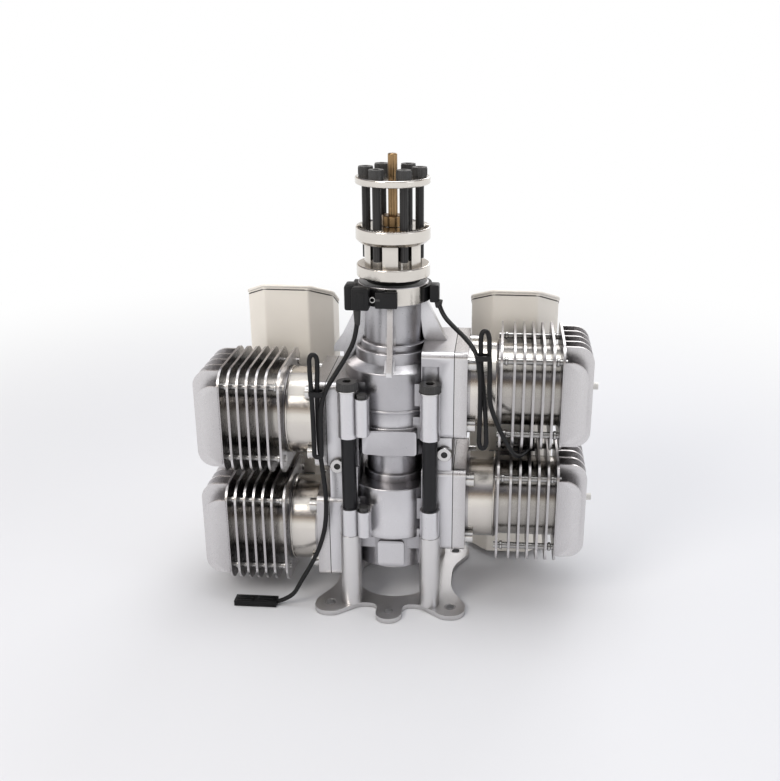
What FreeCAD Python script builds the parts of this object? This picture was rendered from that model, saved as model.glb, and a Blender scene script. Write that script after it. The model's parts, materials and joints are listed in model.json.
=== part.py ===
"""Flat four-cylinder two-stroke petrol engine for a large model aeroplane, in millimetres.

The crankshaft's axis is Z, with the propeller end up and the mounting plate's underside at z = 0.
The cylinders lie along X in two opposed pairs, and each pair's left and right cylinders are staggered
by one rod layer. The carburettors and the exhaust are on the +Y side.
"""
import FreeCAD, Part
import math
import os
import re

import Sketcher

os.makedirs("parts", exist_ok=True)
doc = FreeCAD.newDocument("flat_engine")
sheet = doc.addObject("Spreadsheet::Sheet", "Sizes")
UP = FreeCAD.Vector(0, 0, 1)
SIZES = {}


def sizes(group):
    """Writes a group of driving dimensions into the sheet, each with its own alias."""
    for alias, size in group.items():
        row = len(SIZES) + 1
        SIZES[alias] = size
        sheet.set(f"A{row}", alias)
        sheet.set(f"B{row}", str(size))
        sheet.setAlias(f"B{row}", alias)
    doc.recompute()


def linked(expression):
    """An expression in plain aliases, with each alias pointing at its cell."""
    return re.sub(r"[a-z]\w+", lambda m: f"Sizes.{m[0]}" if m[0] in SIZES else m[0], str(expression))


def value(expression):
    """What an expression comes to now."""
    found = sheet.evalExpression(linked(expression))
    return float(getattr(found, "Value", found))


def bind(thing, prop, expression):
    thing.setExpression(prop, linked(expression))


def place(thing, x="0", y="0", z="0"):
    """Binds where an object stands."""
    for axis, expression in (("x", x), ("y", y), ("z", z)):
        bind(thing, f"Placement.Base.{axis}", expression)
    return thing


AIM = {
    "Z": FreeCAD.Rotation(),
    "X": FreeCAD.Rotation(FreeCAD.Vector(0, 1, 0), 90),
    "-X": FreeCAD.Rotation(FreeCAD.Vector(0, 1, 0), -90),
    "Y": FreeCAD.Rotation(FreeCAD.Vector(1, 0, 0), -90),
}


def rod(name, radius, length, x="0", y="0", z="0", aim="Z"):
    """A round bar that starts at x, y, z and runs along its aim."""
    bar = doc.addObject("Part::Cylinder", name)
    bar.Placement.Rotation = AIM[aim]
    bind(bar, "Radius", radius)
    bind(bar, "Height", length)
    return place(bar, x, y, z)


def block(name, size, x="0", y="0", z="0"):
    """A box with its low corner at x, y, z."""
    box = doc.addObject("Part::Box", name)
    for prop, expression in zip(("Length", "Width", "Height"), size):
        bind(box, prop, expression)
    return place(box, x, y, z)


def join(name, pieces):
    fused = doc.addObject("Part::MultiFuse", name)
    fused.Shapes = pieces
    fused.Refine = True
    return fused


def cut(name, base, tools):
    tool = tools[0] if len(tools) == 1 else join(name + "_tools", tools)
    made = doc.addObject("Part::Cut", name)
    made.Base = base
    made.Tool = tool
    made.Refine = True
    return made


def overlap(name, base, tool):
    made = doc.addObject("Part::Common", name)
    made.Base = base
    made.Tool = tool
    made.Refine = True
    return made


def group(name, pieces):
    """Separate solids of one node."""
    made = doc.addObject("Part::Compound", name)
    made.Links = pieces
    return made


def plane_of(body, role):
    return next(f for f in body.Origin.OriginFeatures if f.Role == role)


def pin_point(sketch, geometry, position, x, y):
    """Binds one sketch point to two expressions."""
    for kind, axis, expression in (("DistanceX", -2, x), ("DistanceY", -1, y)):
        if str(expression) == "0":
            sketch.addConstraint(Sketcher.Constraint("PointOnObject", geometry, position, axis))
            continue
        now = value(expression)
        index = sketch.addConstraint(Sketcher.Constraint(kind, -1, 1, geometry, position, now))
        bind(sketch, f"Constraints[{index}]", expression)


def outline(sketch, corners):
    """A closed outline of straight lines, with every corner placed by two expressions."""
    spots = [FreeCAD.Vector(value(c[0]), value(c[1]), 0) for c in corners]
    for spot, following in zip(spots, spots[1:] + spots[:1]):
        sketch.addGeometry(Part.LineSegment(spot, following), False)
    for i, corner in enumerate(corners):
        sketch.addConstraint(Sketcher.Constraint("Coincident", (i - 1) % len(corners), 2, i, 1))
        pin_point(sketch, i, 1, corner[0], corner[1])


def drawn(body, name, role, corners):
    """A sketch on one of the body's own origin planes, with one outline."""
    sketch = body.newObject("Sketcher::SketchObject", name)
    sketch.AttachmentSupport = [(plane_of(body, role), "")]
    sketch.MapMode = "FlatFace"
    outline(sketch, corners)
    return sketch


def rounded(body, sketch, feature, corners, found):
    """Fillets the edges that the corners with a radius leave, one feature for each radius."""
    radii = []
    for corner in corners:
        if len(corner) == 3 and corner[2] not in radii:
            radii.append(corner[2])
    for i, radius in enumerate(radii):
        doc.recompute([sketch, feature, body])
        spots = [FreeCAD.Vector(value(c[0]), value(c[1]), 0) for c in corners if c[2:] == (radius,)]
        names = [f"Edge{k}" for k, edge in enumerate(feature.Shape.Edges, 1)
                 if any(found(edge, spot) for spot in spots)]
        fillet = body.newObject("PartDesign::Fillet", f"{body.Name}_round_{i}")
        fillet.Base = (feature, names)
        bind(fillet, "Radius", radius)
        feature = fillet
        sketch = fillet
    return body


def turned(name, profile):
    """A body of revolution about Z through (radius, height) corners."""
    body = doc.addObject("PartDesign::Body", name)
    sketch = drawn(body, name + "_profile", "XZ_Plane", profile)
    feature = body.newObject("PartDesign::Revolution", name + "_turn")
    feature.Profile = sketch
    feature.ReferenceAxis = (sketch, ["V_Axis"])
    feature.Angle = 360

    def at_corner(edge, spot):
        curve = edge.Curve
        return (isinstance(curve, Part.Circle) and abs(curve.Radius - spot.x) < 1e-5
                and abs(curve.Center.z - spot.y) < 1e-5)

    return rounded(body, sketch, feature, profile, at_corner)


def slab(name, role, corners, length, offset="0", both=False):
    """A body padded from an outline; the offset moves the sketch along its normal."""
    body = doc.addObject("PartDesign::Body", name)
    sketch = drawn(body, name + "_outline", role, corners)
    bind(sketch, "AttachmentOffset.Base.z", offset)
    feature = body.newObject("PartDesign::Pad", name + "_pad")
    feature.Profile = sketch
    feature.Midplane = both
    bind(feature, "Length", length)
    normal = {"XY_Plane": 2, "XZ_Plane": 1, "YZ_Plane": 0}[role]
    flat = [axis for axis in range(3) if axis != normal]

    def at_corner(edge, spot):
        ends = [vertex.Point for vertex in edge.Vertexes]
        return len(ends) == 2 and all(abs(end[flat[0]] - spot.x) + abs(end[flat[1]] - spot.y) < 1e-5 for end in ends)

    return rounded(body, sketch, feature, corners, at_corner)


def rectangle(width, height, radius=None, x="0", y="0"):
    """The corners of a centred rectangle, rounded where a radius is given."""
    spots = [(f"({x}) {a} ({width})/2", f"({y}) {b} ({height})/2") for a, b in ("--", "+-", "++", "-+")]
    return [spot + ((radius,) if radius else ()) for spot in spots]



# ---- mounting plate, posts and the crankcase -------------------------------------------------------
PLATE_SIZES = {
    "plate_thick": 3, "plate_hole_x": 38, "plate_hole_y": 35.5, "plate_hole_r": 2.75,
    "centre_hole_y": 43.5, "lobe_reach": 9.2, "lobe_drop": 10.6, "lobe_round": 8.4,
    "lobe_flank": 3.5, "flank_round": 6, "centre_lobe_half": 8, "centre_lobe_round": 7.6,
    "centre_lobe_reach": 9, "scallop_y": 35, "scallop_round": 5, "waist_half": 37,
    "waist_start": 14, "waist_round": 30, "plate_window_r": 26,
    "stud_x": 24.5, "stud_y": 32, "stud_r": 3, "post_r": 6.4, "post_top": 51,
    "sleeve_r": 4.5, "stud_boss_r": 6, "stud_head_r": 6.15, "stud_head_tall": 5.5,
    "sleeve_low": 69, "sleeve_high": 116, "head_seat": 145.5, "head_room_top": 160,
    "hole_gap": 0.2, "part_gap": 0.3, "seat_gap": 0.02, "running_gap": 0.03,
}
sizes(PLATE_SIZES)
CASE_SIZES = {
    "stroke": 30, "rod_length": 60, "rear_left_z": 45, "rear_right_z": 66,
    "front_left_z": 120, "front_right_z": 141, "layer_half": 5, "chamber_r": 25.5,
    "end_boss_r": 8, "end_boss_low": 13, "rear_floor": 20,
    "rear_neck_r": 17.5, "rear_drum_low": 24, "rear_drum_r": 27.2, "rear_split": 51,
    "case_r": 30, "rear_rim_low": 46, "rear_drum_top": 80, "neck_ring_r": 19.5,
    "neck_ring_top": 85, "neck_r": 17.5, "pad_low": 102, "front_split": 122,
    "band_r": 28.8, "band_low": 120.5, "rim_r": 30.2, "rim_low": 129.6, "rim_top": 131.7,
    "front_drum_r": 29.3, "front_drum_top": 154.4, "cone_r": 23.2, "cone_top": 158,
    "step_top": 165, "step_r": 20, "tube_low": 169, "tube_r": 17, "nose_low": 193,
    "nose_r": 21, "nose_top": 204.6, "edge_round": 0.8,
    "rear_chamber_low": 31, "rear_chamber_top": 77, "front_chamber_low": 106,
    "front_chamber_top": 153.5, "journal_hole_r": 8, "nose_hole_r": 10,
    "rear_bearing_r": 14, "rear_bearing_low": 22, "rear_bearing_wide": 8,
    "mid_bearing_low": 88, "main_bearing_r": 17.5, "main_bearing_low": 155,
    "main_bearing_wide": 10, "nose_bearing_r": 16, "nose_bearing_low": 193.2,
    "nose_bearing_wide": 9, "small_journal_r": 6, "main_journal_r": 8.5, "nose_journal_r": 7.5,
    "box_inner": 19, "box_face": 38, "box_half_y": 28, "box_half_z": 27.5, "box_round": 4,
    "shoulder_half_x": 22, "shoulder_half_y": 25.3, "shoulder_half_z": 7,
    "slot_r": 30.5, "slot_half_y": 22.9, "spigot_r": 20.5, "spigot_start": 31, "spigot_bore_start": 24,
    "web_thick": 6, "web_outer": 28.5, "web_top": 188, "web_round": 24,
    "pad_half": 16.3, "pad_proud": 1.2, "pad_edge": 2,
    "intake_half_x": 17, "intake_half_z": 15, "intake_face_y": 34, "intake_port_x": 18,
    "intake_port_z": 14, "front_intake_z": 131, "rear_intake_z": 56,
    "lug_x": 15.6, "lug_y": 35.5, "lug_r": 4.2, "lug_hole_r": 2.1,
    "upper_lug_low": 118, "upper_lug_top": 141.5, "lower_lug_top": 68,
}
sizes(CASE_SIZES)
LAYERS = ("rear_left_z", "rear_right_z", "front_left_z", "front_right_z")
SIDES = {"left": "-", "right": "+"}
STUDS = [(a, b) for a in "-+" for b in "-+"]


def quarter_outline():
    """The plate's edge in its front right quarter, from the centre lobe to the waist."""
    lobe_x = "plate_hole_x+lobe_reach"
    lobe_y = "plate_hole_y+lobe_drop"
    return [("centre_lobe_half", "centre_hole_y+centre_lobe_reach", "centre_lobe_round"),
            ("centre_lobe_half", "scallop_y", "scallop_round"),
            ("plate_hole_x/2", "scallop_y-0.5", "scallop_round*2"),
            ("plate_hole_x-lobe_reach/2", lobe_y, "lobe_round"),
            (lobe_x, lobe_y, "lobe_round"),
            (lobe_x, "plate_hole_y-lobe_flank", "flank_round"),
            ("waist_half", "waist_start", "waist_round")]


def mirrored(corners, flip_x, flip_y):
    marks = ("-" if flip_x else "", "-" if flip_y else "")
    flipped = [(f"{marks[0]}({x})", f"{marks[1]}({y})", r) for x, y, r in corners]
    return flipped[::-1] if flip_x == flip_y else flipped


def mount_plate():
    quarter = quarter_outline()
    edge = []
    for flip_x, flip_y in ((False, True), (False, False), (True, False), (True, True)):
        edge += mirrored(quarter, flip_x, flip_y)
    plate = slab("plate_blank", "XY_Plane", edge, "plate_thick")
    tools = [rod("plate_window", "plate_window_r", "plate_thick*3", z="-plate_thick")]
    for i, (a, b) in enumerate(STUDS):
        tools.append(rod(f"plate_hole_{i}", "plate_hole_r", "plate_thick*3",
                         f"{a}plate_hole_x", f"{b}plate_hole_y", "-plate_thick"))
        tools.append(rod(f"plate_stud_hole_{i}", "stud_r+hole_gap", "plate_thick*3",
                         f"{a}stud_x", f"{b}stud_y", "-plate_thick"))
    for i, b in enumerate("-+"):
        tools.append(rod(f"plate_centre_hole_{i}", "plate_hole_r", "plate_thick*3",
                         "0", f"{b}centre_hole_y", "-plate_thick"))
    return cut("mount_plate", plate, tools)


def ring(name, outer, inner, low, high):
    """A plain round ring on the Z axis."""
    return turned(name, [(inner, low), (outer, low), (outer, high), (inner, high)])


def at_studs(name, radius, low, high, bore=None):
    """The same upright round piece at each of the four through bolts."""
    pieces = []
    for i, (a, b) in enumerate(STUDS):
        spot = (f"{a}stud_x", f"{b}stud_y")
        piece = rod(f"{name}_{i}", radius, f"({high})-({low})", *spot, low)
        if bore:
            hole = rod(f"{name}_hole_{i}", bore, f"({high})-({low})+2", *spot, f"({low})-1")
            piece = cut(f"{name}_bored_{i}", piece, [hole])
        pieces.append(piece)
    return pieces


def case_outside():
    drums = turned("case_drums", [
        ("0", "end_boss_low"), ("end_boss_r", "end_boss_low", "edge_round"), ("end_boss_r", "rear_floor"),
        ("rear_neck_r", "rear_floor", "edge_round"), ("rear_neck_r", "rear_drum_low"),
        ("rear_drum_r", "rear_drum_low", "edge_round*2"), ("rear_drum_r", "rear_rim_low"),
        ("case_r", "rear_rim_low", "edge_round"), ("case_r", "rear_drum_top", "edge_round"),
        ("neck_ring_r", "rear_drum_top"), ("neck_ring_r", "neck_ring_top", "edge_round"),
        ("neck_r", "neck_ring_top"), ("neck_r", "pad_low"), ("case_r", "pad_low", "edge_round"),
        ("case_r", "band_low", "edge_round"), ("band_r", "band_low"), ("band_r", "rim_low"),
        ("rim_r", "rim_low", "edge_round"), ("rim_r", "rim_top", "edge_round"),
        ("front_drum_r", "rim_top"), ("front_drum_r", "front_drum_top", "edge_round"),
        ("cone_r", "cone_top"), ("cone_r", "step_top", "edge_round"), ("step_r", "step_top"),
        ("step_r", "tube_low", "edge_round"), ("tube_r", "tube_low"), ("tube_r", "nose_low"),
        ("nose_r", "nose_low", "edge_round"), ("nose_r", "nose_top", "edge_round"), ("0", "nose_top")])
    pieces = [drums]
    for layer in LAYERS:
        sign = "-" if "left" in layer else "+"
        pieces.append(slab(f"{layer}_box", "YZ_Plane",
                           rectangle("2*box_half_y", "2*box_half_z", "box_round", y=layer),
                           "box_face-box_inner",
                           "-box_face" if sign == "-" else "box_inner"))
        size = ("2*shoulder_half_x", "2*shoulder_half_y", "2*shoulder_half_z")
        corner = ("-shoulder_half_x", "-shoulder_half_y", f"{layer}-shoulder_half_z")
        pieces.append(block(f"{layer}_shoulder", size, *corner))
    pieces += at_studs("rear_stud_boss", "stud_boss_r", "rear_split", "sleeve_low")
    pieces += at_studs("front_stud_boss", "stud_boss_r", "sleeve_high", "head_seat")
    for role, tag in (("XZ_Plane", "fore_web"), ("YZ_Plane", "side_web")):
        ribs = [("-web_outer", "front_drum_top-2"), ("web_outer", "front_drum_top-2"),
                ("web_outer", "front_drum_top+1", "1"), ("tube_r+1.5", "step_top+2", "web_round"),
                ("tube_r-1", "web_top"), ("1-tube_r", "web_top"),
                ("-tube_r-1.5", "step_top+2", "web_round"), ("-web_outer", "front_drum_top+1", "1")]
        pieces.append(slab(tag, role, ribs, "web_thick", both=True))
    for tag, low, high in (("mid_pad", "pad_low+2", "band_low-1"), ("rear_pad", "rear_drum_low+3",
                                                                    "rear_rim_low-2")):
        depth = "case_r+pad_proud" if tag == "mid_pad" else "rear_drum_r+pad_proud"
        face = rectangle("2*pad_half" if tag == "mid_pad" else "pad_half",
                         f"({high})-({low})", "pad_edge", y=f"(({high})+({low}))/2")
        pieces.append(slab(tag, "XZ_Plane", face, depth, "0"))
    for tag in ("front_intake_z", "rear_intake_z"):
        size = ("2*intake_half_x", "intake_face_y-20", "2*intake_half_z")
        pieces.append(block(f"{tag}_pad", size, "-intake_half_x", "20", f"{tag}-intake_half_z"))
    for tag, low, high in (("upper_lug", "upper_lug_low", "upper_lug_top"), ("lower_lug", "rear_split",
                                                                             "lower_lug_top")):
        pieces.append(rod(tag, "lug_r", f"{high}-{low}", "-lug_x", "-lug_y+1", low))
        pieces.append(block(tag + "_foot", ("2*lug_r", "10", f"{high}-{low}"), "-lug_x-lug_r", "1-lug_y",
                            low))
    return join("case_outside", pieces)


def case_inside():
    hollow = turned("case_hollow", [
        ("0", "rear_bearing_low"), ("rear_bearing_r+seat_gap", "rear_bearing_low"),
        ("rear_bearing_r+seat_gap", "rear_chamber_low"), ("chamber_r", "rear_chamber_low"),
        ("chamber_r", "rear_chamber_top"), ("journal_hole_r", "rear_chamber_top"),
        ("journal_hole_r", "mid_bearing_low"), ("rear_bearing_r+seat_gap", "mid_bearing_low"),
        ("rear_bearing_r+seat_gap", "mid_bearing_low+rear_bearing_wide"),
        ("journal_hole_r", "mid_bearing_low+rear_bearing_wide"),
        ("journal_hole_r", "front_chamber_low"), ("chamber_r", "front_chamber_low"),
        ("chamber_r", "front_chamber_top"), ("main_bearing_r+seat_gap", "front_chamber_top"),
        ("main_bearing_r+seat_gap", "main_bearing_low+main_bearing_wide"),
        ("nose_hole_r", "main_bearing_low+main_bearing_wide"), ("nose_hole_r", "nose_bearing_low"),
        ("nose_bearing_r+seat_gap", "nose_bearing_low"), ("nose_bearing_r+seat_gap", "nose_top+1"),
        ("0", "nose_top+1")])
    tools = [hollow]
    for layer in LAYERS:
        disc = rod(f"{layer}_slot_disc", "slot_r", "2*layer_half", z=f"{layer}-layer_half")
        limit = block(f"{layer}_slot_limit", ("2*slot_r+2", "2*slot_half_y", "2*layer_half"),
                      "-slot_r-1", "-slot_half_y", f"{layer}-layer_half")
        tools.append(overlap(f"{layer}_slot", disc, limit))
        aim = "-X" if "left" in layer else "X"
        start = "-spigot_bore_start" if "left" in layer else "spigot_bore_start"
        tools.append(rod(f"{layer}_bore", "spigot_r+seat_gap", "box_face-spigot_bore_start+5",
                         start, "0", layer, aim))
        for i, (a, b) in enumerate(STUDS):
            low = "-cyl_bolt_end+0.5" if "left" in layer else "cyl_bolt_end-0.5"
            tools.append(rod(f"{layer}_thread_{i}", "cyl_bolt_r+seat_gap", "box_face-cyl_bolt_end+2", low,
                             f"{a}cyl_bolt_y", f"{layer}{b}cyl_bolt_z", aim))
    for tag in ("front_intake_z", "rear_intake_z"):
        tools.append(block(f"{tag}_port", ("intake_port_x", "intake_face_y-13", "intake_port_z"),
                           "-intake_port_x/2", "15", f"{tag}-intake_port_z/2"))
    tools += at_studs("case_stud_hole", "stud_r+hole_gap", "rear_split-5", "head_room_top")
    tools += at_studs("sleeve_room", "sleeve_r+part_gap", "sleeve_low", "sleeve_high")
    tools += at_studs("stud_head_room", "stud_head_r+part_gap", "head_seat", "head_room_top")
    tools += at_studs("post_room", "post_r+part_gap", "-1", "post_top")
    for tag, top in (("upper_lug_hole", "upper_lug_top"), ("lower_lug_hole", "lower_lug_top")):
        tools.append(rod(tag, "lug_hole_r", "10", "-lug_x", "-lug_y+1", f"{top}-8"))
    return tools


def crankcase():
    """Three castings, split across the crankshaft, from one set of outer and inner forms."""
    whole = cut("crankcase", case_outside(), case_inside())
    wide = "4*case_r"
    spans = {"rear_cover": ("-10", "rear_split"), "mid_crankcase": ("rear_split", "front_split"),
             "front_crankcase": ("front_split", "nose_top+10")}
    for name, (low, high) in spans.items():
        half = block(f"{name}_span", (wide, wide, f"({high})-({low})"), "-2*case_r", "-2*case_r", low)
        overlap(name, whole, half)


# ---- crankshaft, bearings and the propeller seat ---------------------------------------------------
CRANK_SIZES = {
    "web_r": 24.8, "thin_web": 5, "web_gap": 0.3, "crank_end": 236, "journal_low": 22.6,
    "hub_low": 207.8, "hub_flange_r": 21.8, "hub_flange_top": 215, "hub_core_r": 12.6,
    "drum_low": 228, "drum_r": 22, "drum_top": 237, "hub_round": 0.8,
    "washer_low": 261.7, "washer_thick": 4.1, "washer_r": 21.8, "prop_bolt_ring": 15.6,
    "prop_bolt_r": 2.5, "prop_bolt_tip": 218.4, "prop_head_r": 4.25, "prop_head_tall": 5.2,
    "scallop_r": 4.4, "centre_stud_r": 2.75, "centre_stud_low": 226, "centre_stud_top": 278.5,
    "collar_r": 6.5, "collar_tall": 6, "magnet_r": 1.6, "magnet_thick": 2, "magnet_ring": 19.2,
    "hub_key_wide": 3, "hub_key_long": 14,
}
sizes(CRANK_SIZES)


def bearing(name, bore, outer, low, wide):
    """Inner ring, outer ring and balls."""
    inner = ring(name + "_inner", f"{bore}+0.28*({outer}-{bore})", bore, low, f"{low}+{wide}")
    race = ring(name + "_outer", outer, f"{outer}-0.28*({outer}-{bore})", low, f"{low}+{wide}")
    pieces = [inner, race]
    count = 9
    for i in range(count):
        ball = doc.addObject("Part::Sphere", f"{name}_ball_{i}")
        bind(ball, "Radius", f"0.21*({outer}-{bore})")
        turn = 360 / count * i
        place(ball, f"0.5*({outer}+{bore})*cos({turn})", f"0.5*({outer}+{bore})*sin({turn})",
              f"{low}+{wide}/2")
        pieces.append(ball)
    return pieces


def bearings():
    """Two small ball bearings behind, a main bearing and a nose bearing in front, and the nose seal."""
    pieces = []
    for name, bore, outer, low, wide in (
            ("rear_bearing", "small_journal_r", "rear_bearing_r", "rear_bearing_low", "rear_bearing_wide"),
            ("mid_bearing", "small_journal_r", "rear_bearing_r", "mid_bearing_low", "rear_bearing_wide"),
            ("main_bearing", "main_journal_r", "main_bearing_r", "main_bearing_low", "main_bearing_wide"),
            ("nose_bearing", "nose_journal_r", "nose_bearing_r", "nose_bearing_low", "nose_bearing_wide")):
        pieces += bearing(name, f"({bore}+running_gap)", outer, low, wide)
    group("crank_bearings", pieces)
    return ring("shaft_seal", "nose_bearing_r", "nose_journal_r+running_gap*2",
                "nose_bearing_low+nose_bearing_wide", "nose_top")


def crankshaft():
    low = {layer: f"{layer}-layer_half-web_gap" for layer in LAYERS}
    high = {layer: f"{layer}+layer_half+web_gap" for layer in LAYERS}
    rear = turned("crank_rear", [
        ("0", "journal_low"), ("small_journal_r", "journal_low", "0.6"),
        ("small_journal_r", f"{low['rear_left_z']}-thin_web-1.2"),
        ("web_r", f"{low['rear_left_z']}-thin_web-1.2"), ("web_r", low["rear_left_z"]),
        ("0", low["rear_left_z"])])
    middle = turned("crank_middle", [
        ("0", high["rear_right_z"]), ("web_r", high["rear_right_z"]),
        ("web_r", f"{high['rear_right_z']}+thin_web"), ("small_journal_r",
                                                        f"{high['rear_right_z']}+thin_web"),
        ("small_journal_r", f"{low['front_left_z']}-thin_web-1.8"),
        ("web_r", f"{low['front_left_z']}-thin_web-1.8"), ("web_r", low["front_left_z"]),
        ("0", low["front_left_z"])])
    front = turned("crank_front", [
        ("0", high["front_right_z"]), ("web_r", high["front_right_z"]),
        ("web_r", f"{high['front_right_z']}+thin_web+1.2"),
        ("main_journal_r", f"{high['front_right_z']}+thin_web+1.2"),
        ("main_journal_r", "main_bearing_low+main_bearing_wide+2"),
        ("nose_journal_r", "main_bearing_low+main_bearing_wide+2"),
        ("nose_journal_r", "crank_end", "0.6"), ("centre_stud_r+seat_gap", "crank_end"),
        ("centre_stud_r+seat_gap", "centre_stud_low"), ("0", "centre_stud_low")])
    pieces = [rear, middle, front]
    for name, below, above in (("rear", "rear_left_z", "rear_right_z"), ("front", "front_left_z",
                                                                         "front_right_z")):
        pieces.append(rod(f"crank_{name}_web", "web_r", f"({low[above]})-({high[below]})", z=high[below]))
    key_room = block("key_room", ("hub_key_wide+2*seat_gap", "3", "hub_key_long+2*seat_gap"),
                     "-hub_key_wide/2-seat_gap", "nose_journal_r-1.5", "hub_low+2-seat_gap")
    key = block("hub_key", ("hub_key_wide", "2.8", "hub_key_long"), "-hub_key_wide/2", "nose_journal_r-1.4",
                "hub_low+2")
    group("crankshaft", pieces[:2] + [cut("crank_front_keyed", front, [key_room])] + pieces[3:] + [key])


def around_hub(i):
    """Where each of the six propeller bolts stands."""
    turn = -90 + 60 * i
    return f"prop_bolt_ring*cos({turn}+30)", f"prop_bolt_ring*sin({turn}+30)"


def propeller_seat():
    hub = turned("hub_blank", [
        ("nose_journal_r+seat_gap", "hub_low"), ("hub_flange_r", "hub_low", "hub_round"),
        ("hub_flange_r", "hub_flange_top", "hub_round"), ("hub_core_r+4.5", "hub_flange_top"),
        ("hub_core_r+4.5", "drum_low"), ("drum_r-2", "drum_low"), ("drum_r", "drum_low+2"),
        ("drum_r", "drum_top", "hub_round"), ("nose_journal_r+seat_gap", "drum_top")])
    tools = []
    heads = []
    washer_tools = [rod("washer_bore", "centre_stud_r+hole_gap", "washer_thick*3",
                        z="washer_low-washer_thick")]
    for i in range(6):
        x, y = around_hub(i)
        tools.append(rod(f"hub_bolt_hole_{i}", "prop_bolt_r+seat_gap", "drum_top-hub_flange_top+4",
                         x, y, "prop_bolt_tip-0.3"))
        tools.append(rod(f"hub_scallop_{i}", "scallop_r", "drum_low-hub_flange_top",
                         f"({x})*1.12", f"({y})*1.12", "hub_flange_top"))
        washer_tools.append(rod(f"washer_hole_{i}", "prop_bolt_r+hole_gap", "washer_thick*3",
                                x, y, "washer_low-washer_thick"))
        shank = rod(f"prop_shank_{i}", "prop_bolt_r", "washer_low+washer_thick-prop_bolt_tip", x, y,
                    "prop_bolt_tip")
        head = rod(f"prop_head_{i}", "prop_head_r", "prop_head_tall", x, y, "washer_low+washer_thick")
        socket = slab(f"prop_socket_{i}", "XY_Plane", hexagon("prop_bolt_r*0.8", x, y), "prop_head_tall*0.55",
                      "washer_low+washer_thick+prop_head_tall*0.5")
        heads.append(cut(f"prop_bolt_{i}", join(f"prop_bolt_blank_{i}", [shank, head]), [socket]))
    tools.append(block("hub_key_room", ("hub_key_wide+2*seat_gap", "2.7", "hub_key_long+2*seat_gap"),
                       "-hub_key_wide/2-seat_gap", "nose_journal_r-0.5", "hub_low+2-seat_gap"))
    for i in range(2):
        sign = "-+"[i]
        spot = (f"{sign}magnet_ring", "0", "hub_low-0.01")
        tools.append(rod(f"magnet_room_{i}", "magnet_r+seat_gap", "magnet_thick+seat_gap", *spot))
    magnets = [rod(f"hub_magnet_{i}", "magnet_r", "magnet_thick-0.05", f"{'-+'[i]}magnet_ring", "0",
                   "hub_low+0.02") for i in range(2)]
    group("prop_hub", [cut("hub_machined", hub, tools)] + magnets)
    washer = turned("washer_blank", [("0", "washer_low"), ("washer_r", "washer_low", "hub_round"),
                                     ("washer_r", "washer_low+washer_thick", "hub_round"),
                                     ("0", "washer_low+washer_thick")])
    cut("prop_washer", washer, washer_tools)
    group("prop_bolts", heads)
    turned("centre_stud", [("0", "centre_stud_low+0.1"), ("centre_stud_r", "centre_stud_low+0.1"),
                           ("centre_stud_r", "crank_end+0.3"), ("collar_r", "crank_end+1.3"),
                           ("collar_r", "crank_end+1.3+collar_tall", "hub_round"),
                           ("centre_stud_r", "crank_end+1.3+collar_tall"),
                           ("centre_stud_r", "centre_stud_top", "hub_round"), ("0", "centre_stud_top")])


def hexagon(across, x="0", y="0"):
    """Corners of a hexagon of the given centre to corner distance."""
    return [(f"({x})+({across})*cos({60 * i})", f"({y})+({across})*sin({60 * i})") for i in range(6)]


# ---- pistons, connecting rods and cylinders --------------------------------------------------------
PISTON_SIZES = {
    "piston_r": 17.97, "bore_r": 18.03, "crown": 17, "skirt": 14, "piston_wall": 2.4, "crown_thick": 4,
    "wrist_r": 4.5, "wrist_bore_r": 2.6, "wrist_half": 15.6, "boss_gap": 0.4, "boss_r": 7.2,
    "ring_wide": 1.2, "ring_deep": 1.3, "ring_top": 3, "ring_pitch": 3.2, "ring_free": 0.2,
    "small_eye_r": 7.4, "big_eye_r": 7.5, "rod_half": 4.2, "shank_wide": 8.5, "shank_half": 2.6,
    "crankpin_r": 4, "roller_wall": 1.5,
    "barrel_r": 26.8, "barrel_end": 65, "core_r": 25, "core_end": 103,
    "first_fin": 65.8, "second_fin": 73.4, "fin_pitch": 5.7, "fin_thick": 1.4, "fin_y": 65.2,
    "fin_z": 66.7, "fin_round": 12, "bore_end": 93, "head_core_y": 44, "head_core_z": 46,
    "head_end": 111.5, "head_fin_start": 102, "head_fin_pitch": 10.67, "head_fin_thick": 1.7,
    "head_fin_short": 116, "head_fin_long": 120, "short_fin_z": 50, "long_fin_z": 63,
    "head_fin_round": 10, "cyl_bolt_y": 22, "cyl_bolt_z": 19.5, "cyl_bolt_r": 2.5,
    "cyl_bolt_end": 28.5, "cyl_head_r": 4.25, "cyl_head_tall": 5, "exhaust_x": 69,
    "exhaust_half_x": 9.7, "exhaust_half_z": 13.5, "exhaust_face": 36, "exhaust_port_r": 7,
    "exhaust_stud_z": 10.4, "exhaust_stud_r": 2, "plug_thread_r": 5, "plug_hex": 6.6, "plug_seat": 98,
    "plug_well_r": 9.5, "plug_hex_tall": 7, "plug_shell_end": 112, "plug_tip": 125,
}
sizes(PISTON_SIZES)


def wrist_x(layer):
    """The wrist pin's distance from the crank: front pair at the top of the stroke, rear at the bottom."""
    return "rod_length+stroke/2" if "front" in layer else "rod_length-stroke/2"


def cylinder_name(layer):
    return layer[:-2]


def toward(layer, distance):
    """The x of a point at this distance on the cylinder's own side."""
    return f"{'-' if 'left' in layer else '+'}({distance})"


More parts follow.
